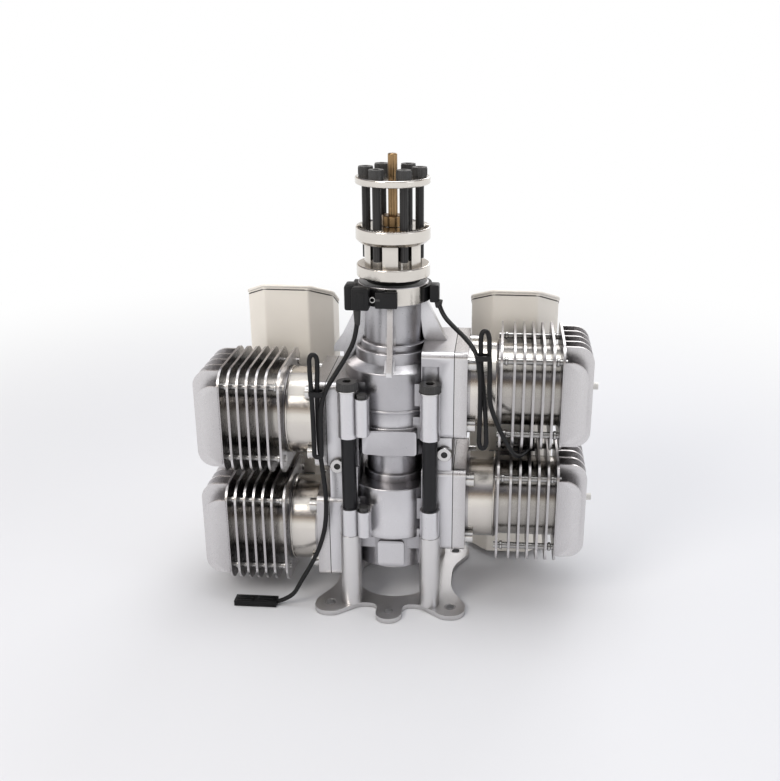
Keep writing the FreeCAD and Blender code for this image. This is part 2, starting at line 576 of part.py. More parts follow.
def piston_parts(layer):
    name = cylinder_name(layer)
    aim = "-X" if "left" in layer else "X"
    wrist = wrist_x(layer)

    def across(tag, radius, start, end):
        return rod(f"{name}_{tag}", radius, f"({end})-({start})", toward(layer, start), "0", layer, aim)

    def upright(tag, radius, half):
        return rod(f"{name}_{tag}", radius, f"2*({half})", toward(layer, wrist), "0", f"{layer}-({half})")

    body = across("piston_body", "piston_r", f"{wrist}-skirt", f"{wrist}+crown")
    hollow = across("piston_hollow", "piston_r-piston_wall", f"{wrist}-skirt-1", f"{wrist}+crown-crown_thick")
    bosses = overlap(f"{name}_bosses", upright("boss_bar", "boss_r", "piston_r+1"),
                     across("boss_limit", "piston_r-piston_wall/2", f"{wrist}-skirt+1", f"{wrist}+crown-1"))
    rod_room = block(f"{name}_rod_room", ("4*boss_r", "6*boss_r", "2*(rod_half+boss_gap)"),
                     f"{toward(layer, wrist)}-2*boss_r", "-3*boss_r", f"{layer}-rod_half-boss_gap")
    bosses = cut(f"{name}_boss_pair", bosses, [rod_room])
    solid = join(f"{name}_piston_blank", [cut(f"{name}_piston_cup", body, [hollow]), bosses])
    grooves = [upright("wrist_hole", "wrist_r+seat_gap", "piston_r+1")]
    rings = []
    for i in range(2):
        outer = f"{wrist}+crown-ring_top-{i}*ring_pitch"
        inner = f"{outer}-ring_wide"
        collar = across(f"groove_outer_{i}", "piston_r+1", f"{inner}-0.05", f"{outer}+0.05")
        post = across(f"groove_inner_{i}", "piston_r-ring_deep-0.1", f"{inner}-1", f"{outer}+1")
        grooves.append(cut(f"{name}_groove_{i}", collar, [post]))
        band = across(f"ring_outer_{i}", "piston_r+seat_gap", inner, outer)
        heart = across(f"ring_inner_{i}", "piston_r-ring_deep", f"{inner}-1", f"{outer}+1")
        split = block(f"{name}_ring_split_{i}", ("ring_wide*4", "6", "ring_free*4"),
                      f"{toward(layer, outer)}-2*ring_wide", "piston_r-4", f"{layer}-ring_free*2")
        rings.append(cut(f"{name}_ring_{i}", band, [heart, split]))
    cut(f"{name}_piston", solid, grooves)
    pin = upright("wrist_solid", "wrist_r", "wrist_half")
    tube_pin = cut(f"{name}_wrist_tube", pin, [upright("wrist_bore", "wrist_bore_r", "wrist_half+1")])
    group(f"{name}_pin_and_rings", rings + [tube_pin])


def rod_parts(layer):
    name = cylinder_name(layer)
    wrist = wrist_x(layer)
    foot = f"{wrist}-rod_length"

    def eye(tag, radius, distance, half):
        return rod(f"{name}_{tag}", radius, f"2*({half})", toward(layer, distance), "0", f"{layer}-({half})")

    low_x = toward(layer, wrist) if "left" in layer else toward(layer, foot)
    shank = block(f"{name}_shank", ("rod_length", "shank_wide", "2*shank_half"), low_x, "-shank_wide/2",
                  f"{layer}-shank_half")
    blank = join(f"{name}_rod_blank", [eye("small_eye", "small_eye_r", wrist, "rod_half"),
                                       eye("big_eye", "big_eye_r", foot, "rod_half"), shank])
    cut(f"{name}_con_rod", blank, [
        eye("small_bore", "wrist_r+running_gap", wrist, "rod_half+1"),
        eye("big_bore", "crankpin_r+roller_wall+seat_gap", foot, "rod_half+1")])
    sleeve = cut(f"{name}_rollers", eye("roller_ring", "crankpin_r+roller_wall", foot, "rod_half-0.2"),
                 [eye("roller_bore", "crankpin_r+seat_gap", foot, "rod_half+1")])
    pin = eye("crankpin_bar", "crankpin_r", foot, "layer_half-web_gap")
    group(f"{name}_crankpin", [pin, sleeve])


CYLINDER_SIZES = {"cyl_low": 38.5, "flange_end": 46}
sizes(CYLINDER_SIZES)


def fin_stack(layer):
    """The barrel's fins across X and the head's fins across Y."""
    name = cylinder_name(layer)
    starts = ["first_fin"] + [f"second_fin+{i}*fin_pitch" for i in range(6)]
    fins = []
    for i, centre in enumerate(starts):
        offset = f"{toward(layer, centre)}-fin_thick/2"
        fins.append(slab(f"{name}_fin_{i}", "YZ_Plane", rectangle("fin_y", "fin_z", "fin_round", y=layer),
                         "fin_thick", offset))
    for i in range(-3, 4):
        reach, tall = ("head_fin_short", "short_fin_z") if abs(i) == 3 else ("head_fin_long", "long_fin_z")
        corners = [(toward(layer, "head_fin_start"), f"{layer}-{tall}/2"),
                   (toward(layer, reach), f"{layer}-{tall}/2", "head_fin_round"),
                   (toward(layer, reach), f"{layer}+{tall}/2", "head_fin_round"),
                   (toward(layer, "head_fin_start"), f"{layer}+{tall}/2")]
        fins.append(slab(f"{name}_head_fin_{i + 3}", "XZ_Plane", corners, "head_fin_thick",
                         f"{i}*head_fin_pitch-head_fin_thick/2"))
    return fins


def cylinder(layer):
    name = cylinder_name(layer)
    aim = "-X" if "left" in layer else "X"

    def across(tag, radius, start, end, y="0", dz="0"):
        return rod(f"{name}_{tag}", radius, f"({end})-({start})", toward(layer, start), y,
                   f"{layer}+({dz})", aim)

    def slice_of(tag, width, height, start, end, radius):
        low = f"-({end})" if "left" in layer else start
        return slab(f"{name}_{tag}", "YZ_Plane", rectangle(width, height, radius, y=layer),
                    f"({end})-({start})", low)

    def upright_block(tag, half_x, y_low, y_high, half_z):
        return block(f"{name}_{tag}", (f"2*({half_x})", f"({y_high})-({y_low})", f"2*({half_z})"),
                     f"{toward(layer, 'exhaust_x')}-({half_x})", y_low, f"{layer}-({half_z})")

    bolts = [(a, b) for a in "-+" for b in "-+"]
    flange = slice_of("flange", "2*box_half_y", "2*box_half_z", "cyl_low", "flange_end", "box_round")
    pockets = [across(f"pocket_{i}", "cyl_head_r+part_gap", "flange_end", "barrel_end-1.5",
                      f"{a}cyl_bolt_y", f"{b}cyl_bolt_z") for i, (a, b) in enumerate(bolts)]
    barrel = cut(f"{name}_barrel", across("barrel_bar", "barrel_r", "flange_end-1", "barrel_end"), pockets)
    solids = [flange, barrel, across("spigot", "spigot_r", "spigot_start", "cyl_low+1"),
              across("core", "core_r", "barrel_end-1", "core_end"),
              slice_of("head_core", "head_core_y", "head_core_z", "core_end-2", "head_end", "head_fin_round"),
              upright_block("exhaust", "exhaust_half_x", "20", "exhaust_face", "exhaust_half_z")]
    port_spot = (toward(layer, "exhaust_x"), "10", layer, "Y")
    tools = [across("bore", "bore_r", "spigot_start-2", "bore_end"),
             across("plug_hole", "plug_thread_r+seat_gap", "bore_end-1", "plug_seat+1"),
             across("plug_well", "plug_well_r", "plug_seat", "head_fin_long+5"),
             rod(f"{name}_exhaust_port", "exhaust_port_r", "exhaust_face-9", *port_spot)]
    for i, (a, b) in enumerate(bolts):
        tools.append(across(f"bolt_hole_{i}", "cyl_bolt_r+hole_gap", "cyl_low-1", "flange_end+1",
                            f"{a}cyl_bolt_y", f"{b}cyl_bolt_z"))
    for i, b in enumerate("-+"):
        tools.append(rod(f"{name}_exhaust_stud_hole_{i}", "exhaust_stud_r+seat_gap", "9",
                         toward(layer, "exhaust_x"), "exhaust_face-8", f"{layer}{b}exhaust_stud_z", "Y"))
    cut(f"{name}_cylinder", join(f"{name}_cylinder_blank", solids + fin_stack(layer)), tools)

    gasket = slice_of("gasket_sheet", "2*box_half_y", "2*box_half_z", "box_face", "cyl_low", "box_round")
    holes = [across("gasket_bore", "spigot_r+hole_gap", "box_face-1", "cyl_low+1")]
    made = []
    for i, (a, b) in enumerate(bolts):
        spot = (f"{a}cyl_bolt_y", f"{b}cyl_bolt_z")
        holes.append(across(f"gasket_hole_{i}", "cyl_bolt_r+hole_gap", "box_face-1", "cyl_low+1", *spot))
        shank = across(f"bolt_shank_{i}", "cyl_bolt_r", "cyl_bolt_end", "flange_end+1", *spot)
        head = across(f"bolt_head_{i}", "cyl_head_r", "flange_end", "flange_end+cyl_head_tall", *spot)
        socket = across(f"bolt_socket_{i}", "cyl_bolt_r*0.8", "flange_end+cyl_head_tall*0.45",
                        "flange_end+cyl_head_tall+1", *spot)
        made.append(cut(f"{name}_bolt_{i}", join(f"{name}_bolt_blank_{i}", [shank, head]), [socket]))
    shell = join(f"{name}_plug_blank", [
        across("plug_thread", "plug_thread_r", "bore_end+0.4", "plug_seat+1"),
        slab(f"{name}_plug_hex", "YZ_Plane", hexagon("plug_hex*1.15", "0", layer), "plug_hex_tall",
             f"-plug_seat-plug_hex_tall" if "left" in layer else "plug_seat"),
        across("plug_collar", "plug_thread_r", "plug_seat+plug_hex_tall-1", "plug_shell_end")])
    shell = cut(f"{name}_plug_shell", shell, [across("plug_core_hole", "3+seat_gap", "bore_end",
                                                     "plug_shell_end+1")])
    insulator = join(f"{name}_insulator", [
        across("plug_core", "3", "bore_end+1", "plug_shell_end+4"),
        across("plug_waist", "2.6", "plug_shell_end+3", "plug_tip-4"),
        across("plug_terminal", "2.2", "plug_tip-5", "plug_tip")])
    gasket_plate = upright_block("exhaust_gasket_plate", "exhaust_half_x", "exhaust_face", "exhaust_face+1",
                                 "exhaust_half_z")
    gasket_holes = [rod(f"{name}_gasket_port", "exhaust_port_r", "5", toward(layer, "exhaust_x"),
                        "exhaust_face-2", layer, "Y")]
    long_bolts = []
    for i, b in enumerate("-+"):
        spot = (toward(layer, "exhaust_x"), "exhaust_face-3", f"{layer}{b}exhaust_stud_z", "Y")
        gasket_holes.append(rod(f"{name}_gasket_stud_{i}", "exhaust_stud_r+hole_gap", "5", *spot))
        at = (toward(layer, "exhaust_x"), "exhaust_face-7", f"{layer}{b}exhaust_stud_z", "Y")
        shank = rod(f"{name}_long_bolt_{i}", "exhaust_stud_r", "muffler_back-exhaust_face+8", *at)
        at = (toward(layer, "exhaust_x"), "muffler_back+0.02", f"{layer}{b}exhaust_stud_z", "Y")
        long_bolts.append(join(f"{name}_long_{i}", [shank, rod(f"{name}_long_head_{i}", "3.5", "3", *at)]))
    return {"bolts": made, "gasket": cut(f"{name}_gasket", gasket, holes), "shell": shell,
            "insulator": insulator, "exhaust_gasket": cut(f"{name}_exhaust_gasket", gasket_plate,
                                                          gasket_holes),
            "long_bolts": long_bolts}


# ---- exhaust, carburettors, ignition and leads -----------------------------------------------------
INTAKE_SIZES = {
    "muffler_x": 73.5, "muffler_half": 28, "muffler_corner": 13.75, "muffler_front": 37,
    "muffler_back": 87, "muffler_low": 3.5, "muffler_top": 190, "muffler_drop": 26.5,
    "muffler_wall": 1.2, "muffler_round": 3, "outlet_r": 8, "outlet_wall": 1, "outlet_z": 20,
    "outlet_out": 18,
    "reed_thick": 9, "petal_thick": 0.5, "carb_half_x": 18, "carb_half_z": 18, "carb_deep": 36,
    "throat_r": 8, "blade_r": 7.7, "blade_thick": 1.2, "spindle_r": 2.2, "throttle_at": 10,
    "choke_at": 27, "lever_long": 16, "lever_thick": 2, "lever_wide": 6, "lever_gap": 1,
    "carb_cover_thick": 4.5, "carb_gasket": 0.5, "cover_screw_r": 1.6,
}
sizes(INTAKE_SIZES)


def exhaust(parts):
    """Two octagonal canisters behind the cylinders, with their tops sloping down to the rear."""
    for side, sign in SIDES.items():
        shells = []
        for tag, inset in (("outer", "0"), ("inner", "muffler_wall")):
            half = f"(muffler_half-{inset})"
            corner = f"(muffler_corner-0.586*{inset})"
            middle = f"{sign}muffler_x"
            near, far = f"(muffler_front+{inset})", f"(muffler_back-{inset})"
            ring_of = []
            for ax, ay, first in (("-", near, 0), ("+", near, 1), ("+", far, 0), ("-", far, 1)):
                inward = "+" if ay == near else "-"
                a = (f"{middle}{ax}{half}", f"{ay}{inward}{corner}", "muffler_round")
                b = (f"{middle}{ax}({half}-{corner})", ay, "muffler_round")
                ring_of += [b, a] if first else [a, b]
            prism = slab(f"muffler_{side}_{tag}_prism", "XY_Plane", ring_of, "muffler_top",
                         f"muffler_low+{inset}")
            tall = [("muffler_front-1", "muffler_low-1"), ("muffler_back+1", "muffler_low-1"),
                    ("muffler_back+1", f"muffler_top-muffler_drop-{inset}*1.2"),
                    ("muffler_front-1", f"muffler_top-{inset}*1.2")]
            side_form = slab(f"muffler_{side}_{tag}_side", "YZ_Plane", tall, "2*muffler_half+4",
                             f"{sign}muffler_x-muffler_half-2")
            shells.append(overlap(f"muffler_{side}_{tag}", prism, side_form))
        tools = [shells[1], rod(f"muffler_{side}_mouth", "outlet_r+seat_gap", "6", f"{sign}muffler_x",
                                "muffler_back-3", "outlet_z+muffler_low", "Y")]
        for layer in [name for name in LAYERS if side in name]:
            tools.append(rod(f"{layer}_inlet", "exhaust_port_r", "4", toward(layer, "exhaust_x"),
                             "muffler_front-2", layer, "Y"))
            for i, b in enumerate("-+"):
                tools.append(rod(f"{layer}_bolt_way_{i}", "exhaust_stud_r+hole_gap",
                                 "muffler_back-muffler_front+6",
                                 toward(layer,
                                        "exhaust_x"), "muffler_front-3", f"{layer}{b}exhaust_stud_z", "Y"))
        can = cut(f"muffler_{side}_can", shells[0], tools)
        spot = (f"{sign}muffler_x", "muffler_back-3", "outlet_z+muffler_low", "Y")
        outer = rod(f"outlet_{side}_outer", "outlet_r", "outlet_out+3", *spot)
        inner = rod(f"outlet_{side}_inner", "outlet_r-outlet_wall", "outlet_out+5", *spot)
        group(f"muffler_{side}", [can, cut(f"outlet_{side}", outer, [inner])])
    group("muffler_bolts", [bolt for part in parts for bolt in part["long_bolts"]])


def fuel_system():
    """Under each pair: a reed block, then a carburettor with a throttle and a choke blade."""
    reeds, petals, gaskets, covers, screws = [], [], [], [], []
    for where in ("front", "rear"):
        z = f"{where}_intake_z"
        front = "intake_face_y"
        plate = block(f"{where}_reed_plate", ("2*intake_half_x", "reed_thick", "2*intake_half_z"),
                      "-intake_half_x", front, f"{z}-intake_half_z")
        way = block(f"{where}_reed_way", ("intake_port_x", "reed_thick+2", "intake_port_z"),
                    "-intake_port_x/2", f"{front}-1", f"{z}-intake_port_z/2")
        reeds.append(cut(f"{where}_reed_block", plate, [way]))
        for i, side in enumerate("-+"):
            low = f"{z}-intake_port_z/2" if side == "-" else f"{z}+0.2"
            petals.append(block(f"{where}_petal_{i}", ("intake_port_x", "petal_thick", "intake_port_z/2-0.2"),
                                "-intake_port_x/2", f"{front}+2", low))
        back = f"({front}+reed_thick)"
        sheet_of = block(f"{where}_carb_gasket_sheet", ("2*intake_half_x", "carb_gasket", "2*intake_half_z"),
                         "-intake_half_x", back, f"{z}-intake_half_z")
        gaskets.append(cut(f"{where}_carb_gasket", sheet_of, [rod(f"{where}_gasket_way", "throat_r", "4", "0",
                                                                  f"{back}-1", z, "Y")]))
        start = f"({back}+carb_gasket)"
        body = slab(f"{where}_carb_block", "XZ_Plane", rectangle("2*carb_half_x", "2*carb_half_z", "3", y=z),
                    "carb_deep", f"-{start}-carb_deep")
        ways = [rod(f"{where}_throat", "throat_r", "carb_deep+2", "0", f"{start}-1", z, "Y")]
        for part, at in (("throttle", "throttle_at"), ("choke", "choke_at")):
            ways.append(rod(f"{where}_{part}_way", "spindle_r+running_gap", "2*carb_half_x+2",
                            "-carb_half_x-1",
                            f"{start}+{at}", z, "X"))
        cut(f"{where}_carburettor", body, ways)
        for part, at, side in (("throttle", "throttle_at", "+"), ("choke", "choke_at", "-")):
            y = f"{start}+{at}"
            blade = rod(f"{where}_{part}_blade", "blade_r", "blade_thick", "0", f"{y}-blade_thick/2", z, "Y")
            bar_low = "-carb_half_x+1" if side == "+" else "-carb_half_x-lever_gap-lever_thick"
            spindle = rod(f"{where}_{part}_spindle", "spindle_r", "2*carb_half_x-1+lever_gap+lever_thick",
                          bar_low, y, z, "X")
            lever_x = "carb_half_x+lever_gap" if side == "+" else "-carb_half_x-lever_gap-lever_thick"
            arm = block(f"{where}_{part}_arm", ("lever_thick", "lever_wide", "lever_long"), lever_x,
                        f"{y}-lever_wide/2", z)
            eye = rod(f"{where}_{part}_eye", "lever_wide/2", "lever_thick", lever_x, y, f"{z}+lever_long",
                      "X")
            hole = rod(f"{where}_{part}_eye_hole", "1.3", "lever_thick+2", f"{lever_x}-1", y,
                       f"{z}+lever_long", "X")
            hub = rod(f"{where}_{part}_hub", "lever_wide/2", "lever_thick", lever_x, y, z, "X")
            cut(f"{where}_{part}", join(f"{where}_{part}_blank", [blade, spindle, arm, eye, hub]), [hole])
        for tag, low in (("low", f"{z}-carb_half_z-carb_cover_thick"), ("high", f"{z}+carb_half_z")):
            cover = slab(f"{where}_{tag}_cover_sheet", "XY_Plane",
                         rectangle("2*carb_half_x-3", "carb_deep-3", "4", y=f"{start}+carb_deep/2"),
                         "carb_cover_thick", low)
            covers.append(cover)
            for i, (a, b) in enumerate(STUDS):
                top = f"{low}-1.2" if tag == "low" else f"{low}+carb_cover_thick"
                screws.append(rod(f"{where}_{tag}_screw_{i}", "cover_screw_r*1.7", "1.2",
                                  f"{a}carb_half_x*0.68",
                                  f"{start}+carb_deep/2{b}carb_deep*0.34", top))
    group("reed_blocks", reeds + petals)
    group("carburettor_covers", covers)
    return gaskets, screws


LEAD_SIZES = {
    "sensor_clamp_r": 23, "clamp_low": 194.5, "clamp_high": 203.4, "sensor_low": 187, "sensor_high": 203.4,
    "sensor_wide": 11, "sensor_deep": 8.5, "sensor_left_x": 21.4, "sensor_left_y": 21.6,
    "sensor_right_y": 8, "clamp_ear_wide": 10, "clamp_ear_deep": 5.5, "clamp_screw_r": 1.5,
    "lead_r": 1.5, "lead_gap": 0.3, "lead_drop": 1, "hank_wide": 7.4, "hank_deep": 5, "hank_round": 2.2, "tie_wall": 0.8, "tie_tall": 3,
    "left_hank_x": -42, "left_hank_low": 103, "left_hank_high": 167,
    "right_hank_x": 55, "right_hank_low": 112, "right_hank_high": 184, "hank_y": -36.5,
    "connector_long": 13.5, "connector_wide": 8, "connector_thick": 3.4,
}
sizes(LEAD_SIZES)


def ignition():
    """Two pick-up sensors on a split clamp round the nose, with their screws."""
    band = ring("clamp_band", "sensor_clamp_r", "nose_r+seat_gap", "clamp_low", "clamp_high")
    ears = block("clamp_ears", ("clamp_ear_wide", "clamp_ear_deep", "clamp_high-clamp_low"),
                 "-clamp_ear_wide/2", "-sensor_clamp_r-clamp_ear_deep+1", "clamp_low")
    split = block("clamp_split", ("1", "clamp_ear_deep+6", "20"), "1", "-sensor_clamp_r-clamp_ear_deep",
                  "clamp_low-5")
    way = rod("clamp_screw_way", "clamp_screw_r+seat_gap", "30", "-15",
              "-sensor_clamp_r-clamp_ear_deep/2+0.6",
              "(clamp_low+clamp_high)/2", "X")
    cut("sensor_clamp", join("clamp_blank", [band, ears]), [split, way])
    shank = rod("clamp_screw_shank", "clamp_screw_r", "clamp_ear_wide-1", "-clamp_ear_wide/2",
                "-sensor_clamp_r-clamp_ear_deep/2+0.6", "(clamp_low+clamp_high)/2", "X")
    head = rod("clamp_screw_head", "clamp_screw_r*1.5", "2.6", "-clamp_ear_wide/2-2.6",
               "-sensor_clamp_r-clamp_ear_deep/2+0.6", "(clamp_low+clamp_high)/2", "X")
    screw = join("clamp_screw", [shank, head])
    left = block("left_sensor", ("sensor_wide", "sensor_deep", "sensor_high-sensor_low"), "-sensor_left_x",
          "-sensor_left_y-sensor_deep", "sensor_low")
    right = block("right_sensor", ("sensor_deep", "sensor_wide", "sensor_high-sensor_low-8"),
                  "sensor_clamp_r+0.3",
                  "-sensor_right_y-sensor_wide/2", "sensor_low+8")
    group("pickup_sensors", [left, right])
    return screw


def tube(name, route):
    """A round lead along straight runs joined by the largest tangent arcs that they allow."""
    spots = [FreeCAD.Vector(*point) for point in route]
    edges, here, radii = [], spots[0], []
    for before, corner, after in zip(spots, spots[1:], spots[2:]):
        back, ahead = (before - corner), (after - corner)
        half_turn = (math.pi - back.getAngle(ahead)) / 2
        reach = 0.45 * min(back.Length, ahead.Length)
        radii.append(reach / math.tan(half_turn))
        back, ahead = back.normalize(), ahead.normalize()
        first, last = corner + back * reach, corner + ahead * reach
        bisector = (back + ahead).normalize()
        centre = corner + bisector * (radii[-1] / math.cos(half_turn))
        middle = centre - bisector * radii[-1]
        edges += [Part.LineSegment(here, first).toShape(), Part.Arc(first, middle, last).toShape()]
        here = last
    edges.append(Part.LineSegment(here, spots[-1]).toShape())
    path = Part.Wire(edges)
    radius = value("lead_r")
    circle = Part.Wire([Part.Circle(spots[0], spots[1] - spots[0], radius).toShape()])
    shape = path.makePipeShell([circle], True, True)
    ratio = shape.Volume / (math.pi * radius ** 2 * path.Length)
    print(f"{name}: {path.Length:.1f} long, volume ratio {ratio:.4f}, radii", [round(r, 1) for r in radii])
    lead = doc.addObject("Part::Feature", name)
    lead.Shape = shape


def hank(side):
    """The folded part of a lead, tied once; plain here."""
    x = f"{side}_hank_x"
    low, high = f"{side}_hank_low", f"{side}_hank_high"
    slab(f"{side}_lead_hank", "XY_Plane", rectangle("hank_wide", "hank_deep", "hank_round", x, "hank_y"),
         f"{high}-{low}", low)
    middle = f"({low}+{high})/2+8" if side == "left" else f"{high}-16"
    outer = slab(f"{side}_tie_outer", "XY_Plane", rectangle("hank_wide+2*tie_wall+0.2",
                                                            "hank_deep+2*tie_wall+0.2",
                 "hank_round+tie_wall", x, "hank_y"), "tie_tall", middle)
    inner = slab(f"{side}_tie_inner", "XY_Plane", rectangle("hank_wide+0.2", "hank_deep+0.2",
                                                            "hank_round+0.1", x,
                 "hank_y"), "tie_tall+2", f"{middle}-1")
    return cut(f"{side}_tie", outer, [inner])


def leads():
    hank_y = value("hank_y")
    sensor_low = value("sensor_low")
    left, right = value("left_hank_x"), value("right_hank_x")
    gap, drop = value("lead_gap"), value("lead_drop")
    beside_hank = value("hank_wide") / 2 + value("lead_r") + gap
    tube("left_lead_upper", [
        (-18.4, -26, sensor_low - drop), (-19.4, -26.8, 176), (-24.6, -29.6, 165.5), (-31, -33, 155.5),
        (left + beside_hank, -36, 149)])
    tube("left_lead_lower", [
        (-40.4, hank_y, value("left_hank_low") - 2 * gap), (-38.9, -36.6, 89), (-38.2, -36.5, 73), (-39.4,
                                                                                                    -36.3, 57),
        (-43, -36.2, 43), (-49, -36.6, 30), (-56, -37.2, 18), (-62, -37, 6), (-72 + 3 * gap, -36.1, 2.3)])
    tube("right_lead_upper", [
        (27, -8, sensor_low + 8 - drop), (29.5, -11, 187.5), (37, -17.5, 181.5), (44, -26, 178),
        (right - beside_hank, -34.6, 173)])
    tube("right_lead_lower", [
        (right + beside_hank, -37, 146), (63.6, -37.4, 131), (69.8, -36.4, 117), (75, -31, 106),
        (80, -20, 101.8), (83.7, -8 - 3 * gap, 101.4)])
    group("lead_ties", [hank("left"), hank("right")])
    size = ("connector_long", "connector_wide", "connector_thick")
    halves = [block(f"left_connector_{i}", size, f"-72-{i + 1}*connector_long", "-36-connector_wide/2",
                    "0.05")
              for i in range(2)]
    group("left_connector", halves)
    block("right_connector", ("connector_wide", "connector_long", "connector_thick"), "80", "-8",
          "101.4-connector_thick/2")


def hardware(small_screws):
    """The posts, sleeves and long studs that stack the engine on its plate, and the small screws."""
    group("mount_posts", at_studs("post", "post_r", "plate_thick", "post_top", "stud_r+hole_gap"))
    group("stud_sleeves", at_studs("sleeve", "sleeve_r", "sleeve_low", "sleeve_high", "stud_r+hole_gap"))
    studs = []
    for i, (a, b) in enumerate(STUDS):
        spot = (f"{a}stud_x", f"{b}stud_y")
        shank = rod(f"stud_shank_{i}", "stud_r", "head_seat", *spot, "0")
        head = rod(f"stud_head_{i}", "stud_head_r", "stud_head_tall", *spot, "head_seat")
        socket = slab(f"stud_socket_{i}", "XY_Plane", hexagon("stud_r*0.95", *spot), "stud_head_tall*0.55+1",
                      "head_seat+stud_head_tall*0.45")
        studs.append(cut(f"stud_{i}", join(f"stud_blank_{i}", [shank, head]), [socket]))
    group("through_studs", studs)
    screws = []
    for i, top in enumerate(("upper_lug_top", "lower_lug_top")):
        spot = ("-lug_x", "-lug_y+1")
        shank = rod(f"lug_screw_shank_{i}", "lug_hole_r-0.1", "6", *spot, f"{top}-6")
        head = rod(f"lug_screw_head_{i}", "lug_r*0.7", "2.6", *spot, top)
        screws.append(join(f"lug_screw_{i}", [shank, head]))
    group("small_screws", screws + small_screws)


NODES = ["mount_plate", "mount_posts", "through_studs", "stud_sleeves", "small_screws", "rear_cover",
         "mid_crankcase", "front_crankcase", "crank_bearings", "seals_and_gaskets", "crankshaft",
         "prop_hub", "prop_washer", "prop_bolts", "centre_stud", "cylinder_bolts",
         "plug_shells", "plug_insulators", "muffler_left", "muffler_right", "muffler_bolts", "reed_blocks",
         "front_carburettor", "rear_carburettor", "carburettor_covers", "front_throttle", "rear_throttle",
         "front_choke", "rear_choke", "sensor_clamp", "pickup_sensors", "left_lead_upper",
         "left_lead_lower", "left_lead_hank", "right_lead_upper", "right_lead_lower", "right_lead_hank",
         "lead_ties", "left_connector", "right_connector"]


def main():
    mount_plate()
    crankcase()
    seal = bearings()
    crankshaft()
    propeller_seat()
    parts = []
    for layer in LAYERS:
        piston_parts(layer)
        rod_parts(layer)
        parts.append(cylinder(layer))
    group("cylinder_bolts", [bolt for part in parts for bolt in part["bolts"]])
    group("plug_shells", [part["shell"] for part in parts])
    group("plug_insulators", [part["insulator"] for part in parts])
    exhaust(parts)
    carburettor_gaskets, cover_screws = fuel_system()
    gaskets = [part[kind] for part in parts for kind in ("gasket", "exhaust_gasket")]
    group("seals_and_gaskets", gaskets + carburettor_gaskets + [seal])
    clamp_screw = ignition()
    leads()
    hardware(cover_screws + [clamp_screw])
    doc.recompute()
    failed = [o.Name for o in doc.Objects if {"Invalid", "Error"} & set(o.State)]
    nodes = NODES + [f"{cylinder_name(layer)}_{part}" for layer in LAYERS for part in
                     ("cylinder", "piston", "pin_and_rings", "con_rod", "crankpin")]
    for name in nodes:
        made = doc.getObject(name)
        if made is None or made.Shape.isNull() or not made.Shape.isValid():
            failed.append(name)
    if failed:
        raise SystemExit("failed: " + ", ".join(failed))
    for name in nodes:
        made = doc.getObject(name)
        made.Label = name
        made.Shape.exportStep(f"parts/{name}.step")
    print(len(nodes), "nodes written")


main()
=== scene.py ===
"""A flat four-cylinder model aero engine: finishes, leads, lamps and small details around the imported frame.

Shapes are written in millimetres and scaled by MM. The camera, the lamps and the floor are in metres.
"""
import json
import math

import bmesh
import bpy
from mathutils import Matrix, Vector


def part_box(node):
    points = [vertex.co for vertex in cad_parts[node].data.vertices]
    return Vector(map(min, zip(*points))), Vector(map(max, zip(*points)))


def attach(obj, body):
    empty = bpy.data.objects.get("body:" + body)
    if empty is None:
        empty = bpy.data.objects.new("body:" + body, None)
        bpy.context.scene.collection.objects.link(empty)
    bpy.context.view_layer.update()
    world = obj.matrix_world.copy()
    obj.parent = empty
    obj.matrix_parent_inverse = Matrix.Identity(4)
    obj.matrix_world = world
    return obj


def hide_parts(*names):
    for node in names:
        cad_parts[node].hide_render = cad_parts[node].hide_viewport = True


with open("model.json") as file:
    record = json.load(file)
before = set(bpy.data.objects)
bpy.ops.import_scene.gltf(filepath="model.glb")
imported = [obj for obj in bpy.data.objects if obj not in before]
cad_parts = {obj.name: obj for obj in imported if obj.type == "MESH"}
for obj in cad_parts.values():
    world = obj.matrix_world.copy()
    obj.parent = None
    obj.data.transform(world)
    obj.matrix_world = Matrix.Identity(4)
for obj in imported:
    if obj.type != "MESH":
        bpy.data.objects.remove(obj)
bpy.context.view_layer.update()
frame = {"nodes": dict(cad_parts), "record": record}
MM = 0.001
WHITE = (1, 1, 1, 1)


# ---- camera ----------------------------------------------------------------------------------------
CAMERA_AT = Vector((0.0643, -0.5813, 0.3516))
TURN, PITCH, ROLL = math.radians(3.44), math.radians(20.49), math.radians(0.52)
SENSOR_WIDTH, FOCAL_LENGTH = 36, 46.3252
SHIFT_X, SHIFT_Y = -0.0662, 0.0020


def make_camera():
    ahead = Vector((-math.sin(TURN) * math.cos(PITCH), math.cos(TURN) * math.cos(PITCH), -math.sin(PITCH)))
    right = Vector((math.cos(TURN), math.sin(TURN), 0))
    upward = right.cross(ahead)
    side = math.cos(ROLL) * right + math.sin(ROLL) * upward
    top = math.cos(ROLL) * upward - math.sin(ROLL) * right
    data = bpy.data.cameras.new("camera")
    data.lens = FOCAL_LENGTH
    data.sensor_width = SENSOR_WIDTH
    data.shift_x = SHIFT_X
    data.shift_y = SHIFT_Y
    camera = bpy.data.objects.new("camera", data)
    bpy.context.scene.collection.objects.link(camera)
    camera.matrix_world = Matrix((side, top, -ahead)).transposed().to_4x4()
    camera.location = CAMERA_AT
    bpy.context.scene.camera = camera


# ---- shader nodes ----------------------------------------------------------------------------------
def add_node(tree, kind, inputs=None, **settings):
    """A new shader node with its settings and the values of its inputs."""
    node = tree.nodes.new("ShaderNode" + kind)
    for name, value in settings.items():
        setattr(node, name, value)
    for name, value in (inputs or {}).items():
        node.inputs[name].default_value = value
    return node


